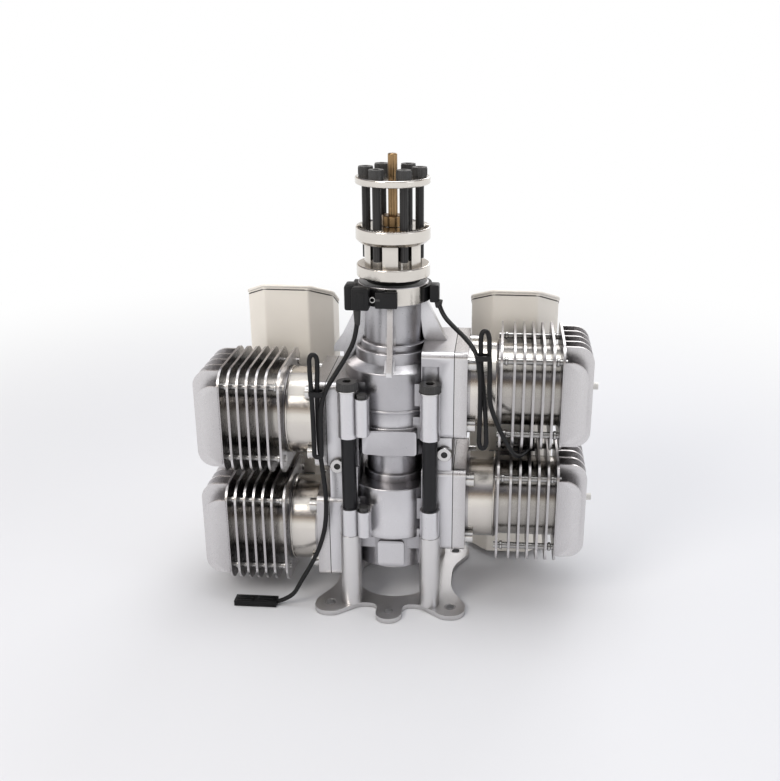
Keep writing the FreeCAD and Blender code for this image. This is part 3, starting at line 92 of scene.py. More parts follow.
def fill_ramp(ramp, stops):
    """Sets a colour ramp's stops, each (place, colour)."""
    elements = ramp.color_ramp.elements
    while len(elements) > len(stops):
        elements.remove(elements[-1])
    while len(elements) < len(stops):
        elements.new(0.5)
    for element, (spot, colour) in zip(elements, stops):
        element.position = spot
        element.color = colour


def any_ray(tree, *kinds):
    """An output that is 1 for rays of the kinds named and 0 for all others."""
    rays = add_node(tree, "LightPath")
    seen = rays.outputs[kinds[0]]
    for kind in kinds[1:]:
        either = add_node(tree, "Math", operation="MAXIMUM")
        tree.links.new(seen, either.inputs[0])
        tree.links.new(rays.outputs[kind], either.inputs[1])
        seen = either.outputs[0]
    return seen


# ---- floor, sky and lamps --------------------------------------------------------------------------
FLOOR_REACH, FLOOR_DROP = 6.0, 0.0004
# The floor's grey near the engine, fading to white with distance, is a painted pool of shade round the
# engine. The lamps and the real cast shadow fall on it too.
SHADE_POOL_COLOUR, FLOOR_ROUGHNESS = (0.76, 0.77, 0.80, 1), 0.7
SHADOW_REACH, WHITE_REACH = 0.28, 0.85
# The sky's colours by height, from 0 straight down to 1 straight up, with the horizon at 0.5.
SKY = ((0.0, (0.30, 0.33, 0.42, 1)), (0.40, (0.45, 0.48, 0.56, 1)), (0.44, WHITE), (0.59, WHITE),
       (0.64, (0.46, 0.38, 0.30, 1)), (0.74, (0.12, 0.115, 0.13, 1)), (0.84, (0.30, 0.30, 0.34, 1)),
       (0.93, WHITE))


def make_floor():
    """A pale grey floor that keeps the real shadow near the engine and fades to plain white further out,
    which paints a pool of shade round the engine.
    """
    mesh = bpy.data.meshes.new("floor")
    corners = [(x * FLOOR_REACH, y * FLOOR_REACH, 0) for x, y in ((-1, -1), (1, -1), (1, 1), (-1, 1))]
    mesh.from_pydata(corners, [], [(0, 1, 2, 3)])
    floor = bpy.data.objects.new("floor", mesh)
    bpy.context.scene.collection.objects.link(floor)
    floor.location.z = -FLOOR_DROP
    material = bpy.data.materials.new("pale_floor")
    material.use_nodes = True
    tree = material.node_tree
    link = tree.links.new
    shader = tree.nodes["Principled BSDF"]
    shader.inputs["Base Color"].default_value = SHADE_POOL_COLOUR
    shader.inputs["Roughness"].default_value = FLOOR_ROUGHNESS
    coords = add_node(tree, "TexCoord")
    distance = add_node(tree, "VectorMath", operation="LENGTH")
    # The fade from grey to white with distance from the engine paints the pool of shade.
    fade = add_node(tree, "MapRange", {"From Min": SHADOW_REACH, "From Max": WHITE_REACH},
                    interpolation_type="SMOOTHSTEP")
    amount = add_node(tree, "Math", operation="MULTIPLY")
    white = add_node(tree, "Emission")
    mix = add_node(tree, "MixShader")
    link(coords.outputs["Object"], distance.inputs[0])
    link(distance.outputs["Value"], fade.inputs["Value"])
    link(fade.outputs[0], amount.inputs[0])
    link(any_ray(tree, "Is Camera Ray", "Is Glossy Ray", "Is Transmission Ray"), amount.inputs[1])
    link(amount.outputs[0], mix.inputs[0])
    link(shader.outputs[0], mix.inputs[1])
    link(white.outputs[0], mix.inputs[2])
    link(mix.outputs[0], tree.nodes["Material Output"].inputs["Surface"])
    mesh.materials.append(material)


def shade_world():
    """A studio sky that lights the engine and shows in its metal. The camera sees plain white instead."""
    world = bpy.data.worlds.new("studio")
    bpy.context.scene.world = world
    world.use_nodes = True
    tree = world.node_tree
    link = tree.links.new
    sky = tree.nodes["Background"]
    coords = add_node(tree, "TexCoord")
    split = add_node(tree, "SeparateXYZ")
    height = add_node(tree, "MapRange", {"From Min": -1})
    ramp = add_node(tree, "ValToRGB")
    fill_ramp(ramp, SKY)
    plain = add_node(tree, "Background", {"Color": WHITE})
    mix = add_node(tree, "MixShader")
    link(coords.outputs["Generated"], split.inputs[0])
    link(split.outputs["Z"], height.inputs["Value"])
    link(height.outputs[0], ramp.inputs[0])
    link(ramp.outputs[0], sky.inputs["Color"])
    link(any_ray(tree, "Is Camera Ray", "Is Transmission Ray"), mix.inputs[0])
    link(sky.outputs[0], mix.inputs[1])
    link(plain.outputs[0], mix.inputs[2])
    link(mix.outputs[0], tree.nodes["World Output"].inputs["Surface"])


def lamp(name, at, aim_height, size, power, tint=(1, 1, 1)):
    """A square lamp in metres and watts, aimed at a height on the engine's axis."""
    data = bpy.data.lights.new(name, "AREA")
    data.size = size
    data.energy = power
    data.color = tint
    light = bpy.data.objects.new(name, data)
    bpy.context.scene.collection.objects.link(light)
    light.location = at
    light.rotation_euler = (Vector((0, 0, aim_height)) - Vector(at)).to_track_quat("-Z", "Y").to_euler()


# ---- materials -------------------------------------------------------------------------------------
ROUGH_SPREAD = 0.08
BUMP_DEPTH = 0.4 * MM
RING_SHARE, RING_WOBBLE = 0.6, 0.6
# How far round each point the painted corner shade looks for nearby surfaces.
CORNER_SHADE_REACH = 9 * MM


def add_rings(tree, coords, height, rings):
    """Mixes a lathe's turning marks round Z into a bump's height."""
    wave = add_node(tree, "TexWave", {"Scale": rings, "Distortion": RING_WOBBLE}, bands_direction="Z")
    tree.links.new(coords.outputs["Object"], wave.inputs["Vector"])
    blend = add_node(tree, "Mix", {"Factor": RING_SHARE})
    tree.links.new(height, blend.inputs["A"])
    tree.links.new(wave.outputs["Fac"], blend.inputs["B"])
    return blend.outputs["Result"]


def brighten_edges(tree, colour_out, bright):
    """Shows a brighter colour where the shape has a worn edge."""
    geometry = add_node(tree, "NewGeometry")
    edge = add_node(tree, "ValToRGB")
    fill_ramp(edge, ((0.50, (0, 0, 0, 1)), (0.58, WHITE)))
    tree.links.new(geometry.outputs["Pointiness"], edge.inputs[0])
    brighten = add_node(tree, "Mix", data_type="RGBA")
    tree.links.new(edge.outputs[0], brighten.inputs["Factor"])
    tree.links.new(colour_out, brighten.inputs["A"])
    brighten.inputs["B"].default_value = bright
    return brighten.outputs["Result"]


def paint_corner_shade(tree, colour_out, corner_shade):
    """Paints shade into a colour, darkening it by up to a share in corners that little light reaches."""
    corners = add_node(tree, "AmbientOcclusion", {"Distance": CORNER_SHADE_REACH}, samples=6)
    depth = add_node(tree, "MapRange", {"From Min": 0.25, "From Max": 0.85, "To Min": 1 - corner_shade})
    darken = add_node(tree, "Mix", data_type="RGBA", blend_type="MULTIPLY")
    darken.inputs["Factor"].default_value = 1
    tree.links.new(corners.outputs["AO"], depth.inputs["Value"])
    tree.links.new(colour_out, darken.inputs["A"])
    tree.links.new(depth.outputs[0], darken.inputs["B"])
    return darken.outputs["Result"]


def surface(name, colour, roughness, metallic=1.0, spread=0.06, cloud=40.0, grain=900.0, stretch=(1, 1, 1),
            bump=0.05, rings=0.0, wear=0.0, corner_shade=0.0, coat=0.0, shine=0.5):
    """A finish with slow colour clouds, fine grain in bump and roughness, worn edges and painted shade that
    darkens its corners.
    """
    material = bpy.data.materials.new(name)
    material.use_nodes = True
    tree = material.node_tree
    link = tree.links.new
    shader = tree.nodes["Principled BSDF"]
    shader.inputs["Metallic"].default_value = metallic
    shader.inputs["Coat Weight"].default_value = coat
    shader.inputs["Specular IOR Level"].default_value = shine
    coords = add_node(tree, "TexCoord")
    clouds = add_node(tree, "TexNoise", {"Scale": cloud, "Detail": 6})
    link(coords.outputs["Object"], clouds.inputs["Vector"])
    ramp = add_node(tree, "ValToRGB")
    low = tuple(max(0.0, c * (1 - spread)) for c in colour) + (1,)
    high = tuple(min(1.0, c * (1 + spread)) for c in colour) + (1,)
    fill_ramp(ramp, ((0.3, low), (0.7, high)))
    link(clouds.outputs["Fac"], ramp.inputs[0])
    scale = add_node(tree, "Mapping", {"Scale": stretch})
    link(coords.outputs["Object"], scale.inputs["Vector"])
    fine = add_node(tree, "TexNoise", {"Scale": grain, "Detail": 4})
    link(scale.outputs[0], fine.inputs["Vector"])
    rough = add_node(tree, "MapRange", {"To Min": max(0.02, roughness - ROUGH_SPREAD),
                                        "To Max": min(1.0, roughness + ROUGH_SPREAD)})
    link(fine.outputs["Fac"], rough.inputs["Value"])
    link(rough.outputs[0], shader.inputs["Roughness"])
    height = fine.outputs["Fac"]
    if rings:
        height = add_rings(tree, coords, height, rings)
    relief = add_node(tree, "Bump", {"Strength": bump, "Distance": BUMP_DEPTH})
    link(height, relief.inputs["Height"])
    link(relief.outputs[0], shader.inputs["Normal"])
    colour_out = ramp.outputs[0]
    if wear:
        colour_out = brighten_edges(tree, colour_out, tuple(min(1.0, c + wear) for c in colour) + (1,))
    # Painted shade: the colour is darkened in corners where little light reaches.
    if corner_shade:
        colour_out = paint_corner_shade(tree, colour_out, corner_shade)
    link(colour_out, shader.inputs["Base Color"])
    return material


# One look for each of the record's slots. Each look's corner shade share is painted shade that darkens the
# colour in its corners.
LOOKS = {
    "plate_alloy": dict(colour=(0.58, 0.57, 0.57), roughness=0.34, grain=300, stretch=(1, 14, 1), bump=0.08,
                        wear=0.14, corner_shade=0.5),
    "case_alloy": dict(colour=(0.485, 0.478, 0.498), roughness=0.30, grain=1500, bump=0.16, wear=0.22,
                       corner_shade=0.58),
    "fin_alloy": dict(colour=(0.50, 0.485, 0.49), roughness=0.29, grain=500, stretch=(10, 1, 1), bump=0.08,
                      wear=0.16, corner_shade=0.6),
    "bright_alloy": dict(colour=(0.70, 0.665, 0.62), roughness=0.16, grain=600, rings=700, bump=0.06,
                         corner_shade=0.6),
    "piston_alloy": dict(colour=(0.66, 0.66, 0.67), roughness=0.3, rings=400, corner_shade=0.5),
    "carb_alloy": dict(colour=(0.44, 0.43, 0.40), roughness=0.42, spread=0.12, grain=1200, bump=0.2,
                       corner_shade=0.6),
    "black_steel": dict(colour=(0.014, 0.013, 0.013), roughness=0.34, metallic=0.3, grain=1400, wear=0.05,
                        shine=0.3),
    "black_sleeve": dict(colour=(0.012, 0.012, 0.014), roughness=0.36, metallic=0.1, rings=260, bump=0.12,
                         shine=0.3),
    "ground_steel": dict(colour=(0.54, 0.54, 0.56), roughness=0.25, rings=900, bump=0.05, corner_shade=0.5),
    "bright_steel": dict(colour=(0.58, 0.57, 0.56), roughness=0.22, grain=900, wear=0.1, corner_shade=0.6),
    "bronze": dict(colour=(0.34, 0.22, 0.11), roughness=0.32, spread=0.15, rings=500, corner_shade=0.6),
    "muffler_steel": dict(colour=(0.90, 0.86, 0.79), roughness=0.5, metallic=0.1, spread=0.05, cloud=18,
                          grain=700, stretch=(1, 1, 0.12), bump=0.06, corner_shade=0.35),
    "white_ceramic": dict(colour=(0.86, 0.84, 0.80), roughness=0.2, metallic=0.0, bump=0.02, coat=0.6),
    "seal_rubber": dict(colour=(0.03, 0.03, 0.03), roughness=0.7, metallic=0.0, bump=0.2),
    "black_plastic": dict(colour=(0.010, 0.010, 0.011), roughness=0.40, metallic=0.0, grain=1800, bump=0.14,
                          shine=0.25),
    "lead_sheath": dict(colour=(0.009, 0.009, 0.010), roughness=0.42, metallic=0.0, grain=1200, bump=0.1,
                        shine=0.25),
}
FINISH = {slot: surface(slot, **look) for slot, look in LOOKS.items()}


def dress_nodes():
    """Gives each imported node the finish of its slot."""
    for entry in frame["record"]["subparts"]:
        node = frame["nodes"][entry["node"]]
        node.data.materials.clear()
        node.data.materials.append(FINISH[entry["material_slot"]])


def piece(name, mesh_or_curve, slot, body="root"):
    """Links a new piece, gives it its finish and lets it ride on a body."""
    made = bpy.data.objects.new(name, mesh_or_curve)
    bpy.context.scene.collection.objects.link(made)
    mesh_or_curve.materials.append(FINISH[slot])
    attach(made, body)
    return made


# ---- the two pick-up leads -------------------------------------------------------------------------
LEAD_DIAMETER = 2.8 * MM
# From each pick-up down to its connector, through the loop that is folded and tied at the cylinders.
LEFT_ROUTE = [
    (-18.4, -26, 187), (-19.4, -26.8, 176), (-24.6, -29.6, 165.5), (-31, -33, 155.5), (-37.4, -36.8, 145),
    (-39.8, -37.9, 133), (-39.8, -37.9, 120), (-39.8, -37.9, 109), (-39.7, -37.9, 104.2),
    (-44.3, -37.9, 104.2), (-44.2, -37.9, 109), (-44.2, -37.9, 121), (-44.4, -37.6, 134),
    (-44.9, -36.8, 147), (-45.6, -35.8, 158), (-45.7, -35.2, 167.6), (-41.0, -34.9, 167.6),
    (-41.2, -34.8, 157), (-41.8, -34.7, 145), (-42, -34.7, 132), (-42, -34.7, 119), (-41.6, -34.7, 107),
    (-40.2, -35.8, 97), (-38.9, -36.6, 86), (-38.2, -36.5, 72), (-39.4, -36.3, 57), (-43, -36.2, 43),
    (-49, -36.6, 30), (-56, -37.2, 18), (-62, -37, 6), (-72, -36, 1.9)]
RIGHT_ROUTE = [
    (27, -8, 195), (29.5, -11, 187.5), (37, -17.5, 181.5), (44, -26, 178), (50.6, -34, 172.5),
    (53.4, -37.8, 163), (54, -37.9, 150), (54, -37.9, 137), (53.9, -37.9, 125), (53.8, -37.9, 113.6),
    (58.2, -37.9, 113.6), (57.9, -37.7, 124), (57.2, -37.0, 135), (55.8, -35.6, 147), (54.2, -34.8, 160),
    (53.6, -34.7, 173), (53.4, -34.8, 184.6), (58.2, -35.2, 184.6), (58.6, -35.8, 172), (59.2, -37.6, 160),
    (59.0, -40.0, 149), (60.6, -40.2, 139), (64.8, -38.8, 128), (69.8, -36.4, 117), (75, -31, 106),
    (80, -20, 101.8), (84, -8, 101.4)]


def lead(side, route):
    """One limp lead along its route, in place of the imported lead's three parts."""
    name = f"{side}_lead"
    curve = bpy.data.curves.new(name, "CURVE")
    curve.dimensions = "3D"
    curve.bevel_depth = LEAD_DIAMETER / 2
    curve.bevel_resolution = 5
    curve.resolution_u = 12
    curve.use_fill_caps = True
    spline = curve.splines.new("NURBS")
    spline.points.add(len(route) - 1)
    for point, spot in zip(spline.points, route):
        point.co = (*(Vector(spot) * MM), 1)
    spline.order_u = 3
    spline.use_endpoint_u = True
    made = piece(name, curve, "lead_sheath")
    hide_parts(f"{name}_upper", f"{name}_hank", f"{name}_lower")


# ---- tools for detail pieces -----------------------------------------------------------------------
AXIS_TURN = {"X": Matrix.Rotation(math.pi / 2, 4, "Y"), "Y": Matrix.Rotation(-math.pi / 2, 4, "X"),
             "Z": Matrix.Identity(4)}
SMOOTH_BELOW = math.radians(35)
ARC_STEPS = 32


def finish_mesh(bm, name, slot, body="root", smooth=True):
    """Turns a mesh under construction into a piece."""
    bmesh.ops.recalc_face_normals(bm, faces=bm.faces)
    mesh = bpy.data.meshes.new(name)
    bm.to_mesh(mesh)
    bm.free()
    if smooth:
        mesh.shade_smooth()
        mesh.set_sharp_from_angle(angle=SMOOTH_BELOW)
    return piece(name, mesh, slot, body)


def face_front(bm):
    """Turns what was built towards the back round to the front."""
    for vert in bm.verts:
        vert.co.y = -vert.co.y


def add_lathe(bm, profile, at=(0, 0, 0), axis="Z", steps=40, closed=False):
    """Turns (radius, height) corners about an axis through a point. A closed profile makes a ring."""
    rings = []
    for radius, height in profile:
        ring = []
        for i in range(steps):
            angle = 2 * math.pi * i / steps
            spot = Vector((radius * math.cos(angle), radius * math.sin(angle), height)) * MM
            ring.append(bm.verts.new(AXIS_TURN[axis] @ spot + Vector(at) * MM))
        rings.append(ring)
    for low, high in zip(rings, rings[1:] + (rings[:1] if closed else [])):
        for i in range(steps):
            j = (i + 1) % steps
            bm.faces.new((low[i], low[j], high[j], high[i]))
    if not closed:
        bm.faces.new(rings[0])
        bm.faces.new(rings[-1])


def add_block(bm, low, high, bevel):
    """A bevelled box between two corners."""
    made = bmesh.ops.create_cube(bm, size=1)
    size = Vector(high) - Vector(low)
    middle = (Vector(high) + Vector(low)) / 2
    for vert in made["verts"]:
        vert.co = Vector([c * s for c, s in zip(vert.co, size)])
    edges = list({edge for vert in made["verts"] for edge in vert.link_edges})
    bevelled = bmesh.ops.bevel(bm, geom=edges, offset=bevel, segments=2, affect="EDGES", profile=0.5)
    kept = {vert for vert in made["verts"] if vert.is_valid}
    for vert in kept | {vert for face in bevelled["faces"] for vert in face.verts}:
        vert.co = (vert.co + middle) * MM


def add_bars(bm, radius, thick, low, high, centre, count):
    """Fine upright bars round a screw's head: a knurl."""
    for i in range(count):
        turn = Matrix.Rotation(2 * math.pi * i / count, 4, "Z")
        corners = []
        for z in (low, high):
            for dx, dy in ((0, -thick), (thick, 0), (0, thick)):
                corners.append(bm.verts.new(turn @ (Vector((radius + dx, dy, z)) * MM) + Vector(centre) * MM))
        a, b, c, d, e, f = corners
        for face in ((a, b, e, d), (b, c, f, e), (a, d, f, c), (a, c, b), (d, e, f)):
            bm.faces.new(face)


def add_arc(bm, inner, outer, low, high, start, stop):
    """A band round Z between two angles in degrees."""
    rings = []
    for i in range(ARC_STEPS + 1):
        angle = math.radians(start + (stop - start) * i / ARC_STEPS)
        rings.append([bm.verts.new(Vector((r * math.cos(angle), r * math.sin(angle), z)) * MM)
                      for r, z in ((inner, low), (outer, low), (outer, high), (inner, high))])
    for before, after in zip(rings, rings[1:]):
        for i in range(4):
            j = (i + 1) % 4
            bm.faces.new((before[i], before[j], after[j], after[i]))
    bm.faces.new(rings[0])
    bm.faces.new(rings[-1])


def add_plate(bm, outline, thick, degrees):
    """An upright plate from (reach, height) corners, given thickness and turned about Z."""
    turn = Matrix.Rotation(math.radians(degrees), 4, "Z")
    sides = [[bm.verts.new(turn @ (Vector((x, y, z)) * MM)) for x, z in outline]
             for y in (-thick / 2, thick / 2)]
    count = len(outline)
    for i in range(count):
        j = (i + 1) % count
        bm.faces.new((sides[0][i], sides[0][j], sides[1][j], sides[1][i]))
    for side in sides:
        bm.faces.new(side)


# ---- screws and washers ----------------------------------------------------------------------------
STUD_X, STUD_Y, STUD_SEAT = 24.5, 32, 145.5
STUDS = [(x, y, 0) for x in (-STUD_X, STUD_X) for y in (-STUD_Y, STUD_Y)]
PROP_RING, PROP_COUNT = 15.6, 6
PROP_BOLTS = [(PROP_RING * math.cos(math.radians(360 / PROP_COUNT * i)),
               PROP_RING * math.sin(math.radians(360 / PROP_COUNT * i)), 0) for i in range(PROP_COUNT)]
DRUM_FACE, TOOTH_HEIGHT, TOOTH_HALF = 236.9, 0.55, 0.5
TOOTH_INNER, TOOTH_OUTER, TOOTH_COUNT = 18.8, 21.3, 72
PLATE_HOLE_X, PLATE_HOLE_Y = 38, 35.5


def knurls():
    """The knurled sides of the socket heads."""
    bm = bmesh.new()
    for spot in STUDS:
        add_bars(bm, radius=6.1, thick=0.28, low=146.2, high=150.4, centre=spot, count=40)
    finish_mesh(bm, "stud_head_knurls", "black_steel", smooth=False)
    bm = bmesh.new()
    for spot in PROP_BOLTS:
        add_bars(bm, radius=4.2, thick=0.22, low=266.4, high=270.2, centre=spot, count=30)
    finish_mesh(bm, "prop_head_knurls", "black_steel", "crank", smooth=False)


def drum_serration():
    """The fine radial teeth of the propeller drum's face."""
    bm = bmesh.new()
    tip = DRUM_FACE + TOOTH_HEIGHT
    for i in range(TOOTH_COUNT):
        turn = Matrix.Rotation(2 * math.pi * i / TOOTH_COUNT, 4, "Z")
        a, b, c, d, e, f = [bm.verts.new((turn @ Vector((reach, y, z))) * MM) for y, z, reach in (
            (-TOOTH_HALF, DRUM_FACE, TOOTH_INNER), (-TOOTH_HALF, DRUM_FACE, TOOTH_OUTER),
            (0, tip, TOOTH_OUTER), (0, tip, TOOTH_INNER),
            (TOOTH_HALF, DRUM_FACE, TOOTH_INNER), (TOOTH_HALF, DRUM_FACE, TOOTH_OUTER))]
        for face in ((a, b, c, d), (d, c, f, e), (a, d, e), (b, f, c)):
            bm.faces.new(face)
    finish_mesh(bm, "drum_serration", "bright_alloy", "crank", smooth=False)


def washers():
    """The washers under the stud heads, and the bright edges of the plate's corner holes."""
    bm = bmesh.new()
    inner, outer, top = 3.3, 6.7, STUD_SEAT + 0.6
    for spot in STUDS:
        add_lathe(bm, [(inner, STUD_SEAT), (outer, STUD_SEAT), (outer, top), (inner, top)], spot, closed=True)
    finish_mesh(bm, "stud_washers", "bright_steel")
    bm = bmesh.new()
    for x in (-PLATE_HOLE_X, PLATE_HOLE_X):
        for y in (-PLATE_HOLE_Y, PLATE_HOLE_Y):
            add_lathe(bm, [(2.78, 2.9), (3.5, 3.04), (3.2, 3.1), (2.78, 2.5)], (x, y, 0), closed=True)
    finish_mesh(bm, "plate_hole_edges", "bright_steel")


# ---- mufflers --------------------------------------------------------------------------------------
MUFFLER_X, MUFFLER_HALF, MUFFLER_NEAR, MUFFLER_FAR = 73.5, 28, 37, 87
MUFFLER_CORNER, MUFFLER_ROUND, CORNER_PULL = 13.75, 2.4, 0.27
SLOPE_TOP, SLOPE_START, SLOPE = 190, 36, 26.5 / 52


def octagon():
    """A canister's plan, seen from its own middle."""
    half, near, far = MUFFLER_HALF, MUFFLER_NEAR, MUFFLER_FAR
    inset = half - MUFFLER_CORNER
    return [(-half, near + MUFFLER_CORNER), (-inset, near), (inset, near), (half, near + MUFFLER_CORNER),
            (half, far - MUFFLER_CORNER), (inset, far), (-inset, far), (-half, far - MUFFLER_CORNER)]


def rounded(plan):
    """The same plan with three points to a corner."""
    smooth = []
    for i, spot in enumerate(plan):
        here, before, after = Vector(spot), Vector(plan[i - 1]), Vector(plan[(i + 1) % len(plan)])
        enter = here + (before - here).normalized() * MUFFLER_ROUND
        leave = here + (after - here).normalized() * MUFFLER_ROUND
        smooth += [enter, here + (enter + leave - here * 2) * CORNER_PULL, leave]
    return smooth


def muffler_lips():
    """The rolled rim of each canister's sloping end, with the dark seam below it."""
    plan = rounded(octagon())
    for side, x in (("left", -MUFFLER_X), ("right", MUFFLER_X)):
        for tag, radius, drop, slot in (("lip", 0.9, 0.2, "muffler_steel"),
                                        ("seam", 0.35, 2.6, "seal_rubber")):
            curve = bpy.data.curves.new(f"muffler_{tag}_{side}", "CURVE")
            curve.dimensions = "3D"
            curve.bevel_depth = radius * MM
            curve.bevel_resolution = 3
            spline = curve.splines.new("POLY")
            spline.points.add(len(plan) - 1)
            spline.use_cyclic_u = True
            for point, spot in zip(spline.points, plan):
                height = SLOPE_TOP - SLOPE * (spot.y - SLOPE_START) - drop
                point.co = (*(Vector((x + spot.x, spot.y, height)) * MM), 1)
            piece(f"muffler_{tag}_{side}", curve, slot)


# ---- cylinders and plugs ---------------------------------------------------------------------------
FIN_BOLT_Y, FIN_BOLT_Z = 25.5, 23
FIN_BOLT_RADIUS, FIN_COLLAR_RADIUS, FIN_BOLT_START, FIN_BOLT_STOP = 2.0, 2.7, 64, 104
FIN_COLLARS = (67.5, 97.6)
# Where each turned step starts and its radius, then each skin's radius and its two ends.
BARREL_STEPS = ((46.1, 24.3), (62.6, 27.2))
BARREL_SKINS = ((26.92, 47.6, 62.8), (25.12, 65.2, 102.8))
CRIMP_STARTS, RIB_STARTS = (110.6, 111.6), (113.2, 115.2, 117.2)


def each_cylinder():
    """Each cylinder's name, its side (-1 is left, 1 is right) and the height of its axis."""
    for name in ("rear_left", "rear_right", "front_left", "front_right"):
        low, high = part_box(f"{name}_cylinder")
        yield name, -1 if "left" in name else 1, (low.z + high.z) / 2 / MM


def add_sideways(bm, profile, side, y, z, steps, closed=True):
    """Turns (radius, reach) corners about a line that runs outwards from the engine's middle."""
    add_lathe(bm, [(radius, side * reach) for radius, reach in profile], (0, y, z), "X", steps, closed)


def fin_bolts():
    """The long head bolts that pass through every cylinder's fins, with their collars between fins."""
    profile = [(FIN_BOLT_RADIUS, FIN_BOLT_START)]
    for start in FIN_COLLARS:
        profile += [(FIN_BOLT_RADIUS, start), (FIN_COLLAR_RADIUS, start + 0.4),
                    (FIN_COLLAR_RADIUS, start + 1.6), (FIN_BOLT_RADIUS, start + 2.0)]
    profile.append((FIN_BOLT_RADIUS, FIN_BOLT_STOP))
    for name, side, height in each_cylinder():
        bm = bmesh.new()
        for y in (-FIN_BOLT_Y, FIN_BOLT_Y):
            for z in (-FIN_BOLT_Z, FIN_BOLT_Z):
                add_sideways(bm, profile, side, y, height + z, 20, closed=False)
        finish_mesh(bm, f"{name}_fin_bolts", "bright_steel")


def barrel_rings():
    """Turned steps where each barrel meets its flange and first fin, and its bright turned skin."""
    for name, side, height in each_cylinder():
        bm = bmesh.new()
        for start, radius in BARREL_STEPS:
            step = [(radius - 3, start), (radius, start + 0.2), (radius + 0.3, start + 0.8),
                    (radius, start + 1.5), (radius - 3, start + 1.7)]
            add_sideways(bm, step, side, 0, height, 72)
        for radius, start, stop in BARREL_SKINS:
            skin = [(radius - 0.4, start), (radius, start + 0.2), (radius, stop - 0.2), (radius - 0.4, stop)]
            add_sideways(bm, skin, side, 0, height, 96)
        finish_mesh(bm, f"{name}_barrel_rings", "bright_alloy")


def plug_rings(name, slot, starts, foot, rim, rise, fall, width):
    """Rings round every plug, from a foot's radius up to a rim's, which lasts from the rise to the fall."""
    bm = bmesh.new()
    for _, side, height in each_cylinder():
        for start in starts:
            ring = [(foot, start), (rim, start + rise), (rim, start + fall), (foot, start + width)]
            add_sideways(bm, ring, side, 0, height, 32)
    finish_mesh(bm, name, slot)


def plug_details():
    """Crimp rings on each plug's shell and ribs on its insulator."""
    plug_rings("plug_crimps", "bright_steel", CRIMP_STARTS, foot=4.9, rim=5.5, rise=0.2, fall=0.5, width=0.7)
    plug_rings("plug_ribs", "white_ceramic", RIB_STARTS, foot=2.5, rim=3.4, rise=0.4, fall=0.9, width=1.3)


# ---- case and nose ---------------------------------------------------------------------------------
LINK_INNER, LINK_OUTER, LINK_HALF_Y = 20, 37.6, 26.5
BOSSES = ((33, 105), (-32, 95))
NOSE_RADIUS, NOSE_LOW, NOSE_TOP = 21, 193, 204.6
WEB_INNER, WEB_TOP = 15, NOSE_LOW - 0.2


def case_links():
    """The webs that join the cylinder seats above each other, each with a tapped boss whose bore holds a dark
    fill that is painted shade.
    """
    bm = bmesh.new()
    add_block(bm, (LINK_INNER, -LINK_HALF_Y, 92), (LINK_OUTER, LINK_HALF_Y, 115), 1.2)
    add_block(bm, (-LINK_OUTER, -LINK_HALF_Y, 71), (-LINK_INNER, LINK_HALF_Y, 94), 1.2)
    finish_mesh(bm, "case_links", "case_alloy")
    bosses, holes = bmesh.new(), bmesh.new()
    for x, z in BOSSES:
        add_lathe(bosses, [(2.0, 27.5), (2.0, 30.5), (4.1, 30.5), (4.5, 30.0), (4.5, 25), (2.0, 25)],
                  (x, 0, z), "Y", 36, closed=True)
        # The dark fill set inside each boss's bore is painted shade for the depth of the tapped hole.
        add_lathe(holes, [(0.1, 29.6), (2.05, 29.6), (2.05, 27), (0.1, 27)], (x, 0, z), "Y", 24)
    face_front(bosses)
    face_front(holes)
    finish_mesh(bosses, "case_bosses", "bright_steel")
    finish_mesh(holes, "case_boss_hole_shade", "seal_rubber")


def nose_webs():
    """The cast webs that brace the nose: one in front, one to each shoulder, and one behind."""
    bm = bmesh.new()
    front = [(WEB_INNER, WEB_TOP), (19.4, WEB_TOP), (20.4, 190), (23.8, 165), (29.6, 156.5), (29.6, 153),
             (WEB_INNER, 153)]
    shoulder = [(WEB_INNER, WEB_TOP), (20.2, WEB_TOP), (22.5, 188), (31.5, 170), (36.5, 163), (36.5, 159.7),
                (30.5, 159.7), (30.5, 152), (WEB_INNER, 152)]
    for degrees in (-90, 90):
        add_plate(bm, front, 3.4, degrees)
    for degrees in (0, 180):
        add_plate(bm, shoulder, 6, degrees)
    edges = [edge for edge in bm.edges if edge.calc_face_angle(0) > 1]
    bmesh.ops.recalc_face_normals(bm, faces=bm.faces)
    bmesh.ops.bevel(bm, geom=edges, offset=0.7 * MM, segments=3, affect="EDGES", profile=0.5)
    finish_mesh(bm, "nose_webs", "case_alloy")


def nose_band():
    """The polished band round the nose, just proud of the casting."""
    bm = bmesh.new()
    rim = NOSE_RADIUS + 0.08
    add_lathe(bm, [(rim - 0.4, NOSE_LOW + 0.4), (rim, NOSE_LOW + 0.8), (rim, NOSE_TOP - 0.8),
                   (rim - 0.4, NOSE_TOP - 0.4)], steps=96, closed=True)
    finish_mesh(bm, "nose_band", "bright_alloy")


# ---- pick-ups, leads' ends and carburettors --------------------------------------------------------
BAND_INNER = NOSE_RADIUS + 0.15
LEFT_BOOT_AT, RIGHT_BOOT_AT = (-18.45, -26.0, 0), (27.5, -8.6, 0)
# A connector's two halves on the floor, and the right one that rests on the fins.
HALF_STARTS, HALF_LENGTH, HALF_FRONT, HALF_BACK = (-85.4, -98.9), 13.3, -40, -32
REST_LEFT, REST_LOW, REST_TOP = 80, 99.75, 103.05
RIDGE_COUNT, RIDGE_STEP, RIDGE_BEVEL = 3, 2.5, 0.15
CARBURETTOR_HEIGHTS, FUEL_INLET_AT, IDLE_SCREW_AT = (56, 131), (66, -11), (72, 10)
SPRING_START, SPRING_TURNS, SPRING_PITCH = 18.4, 7, 1.2


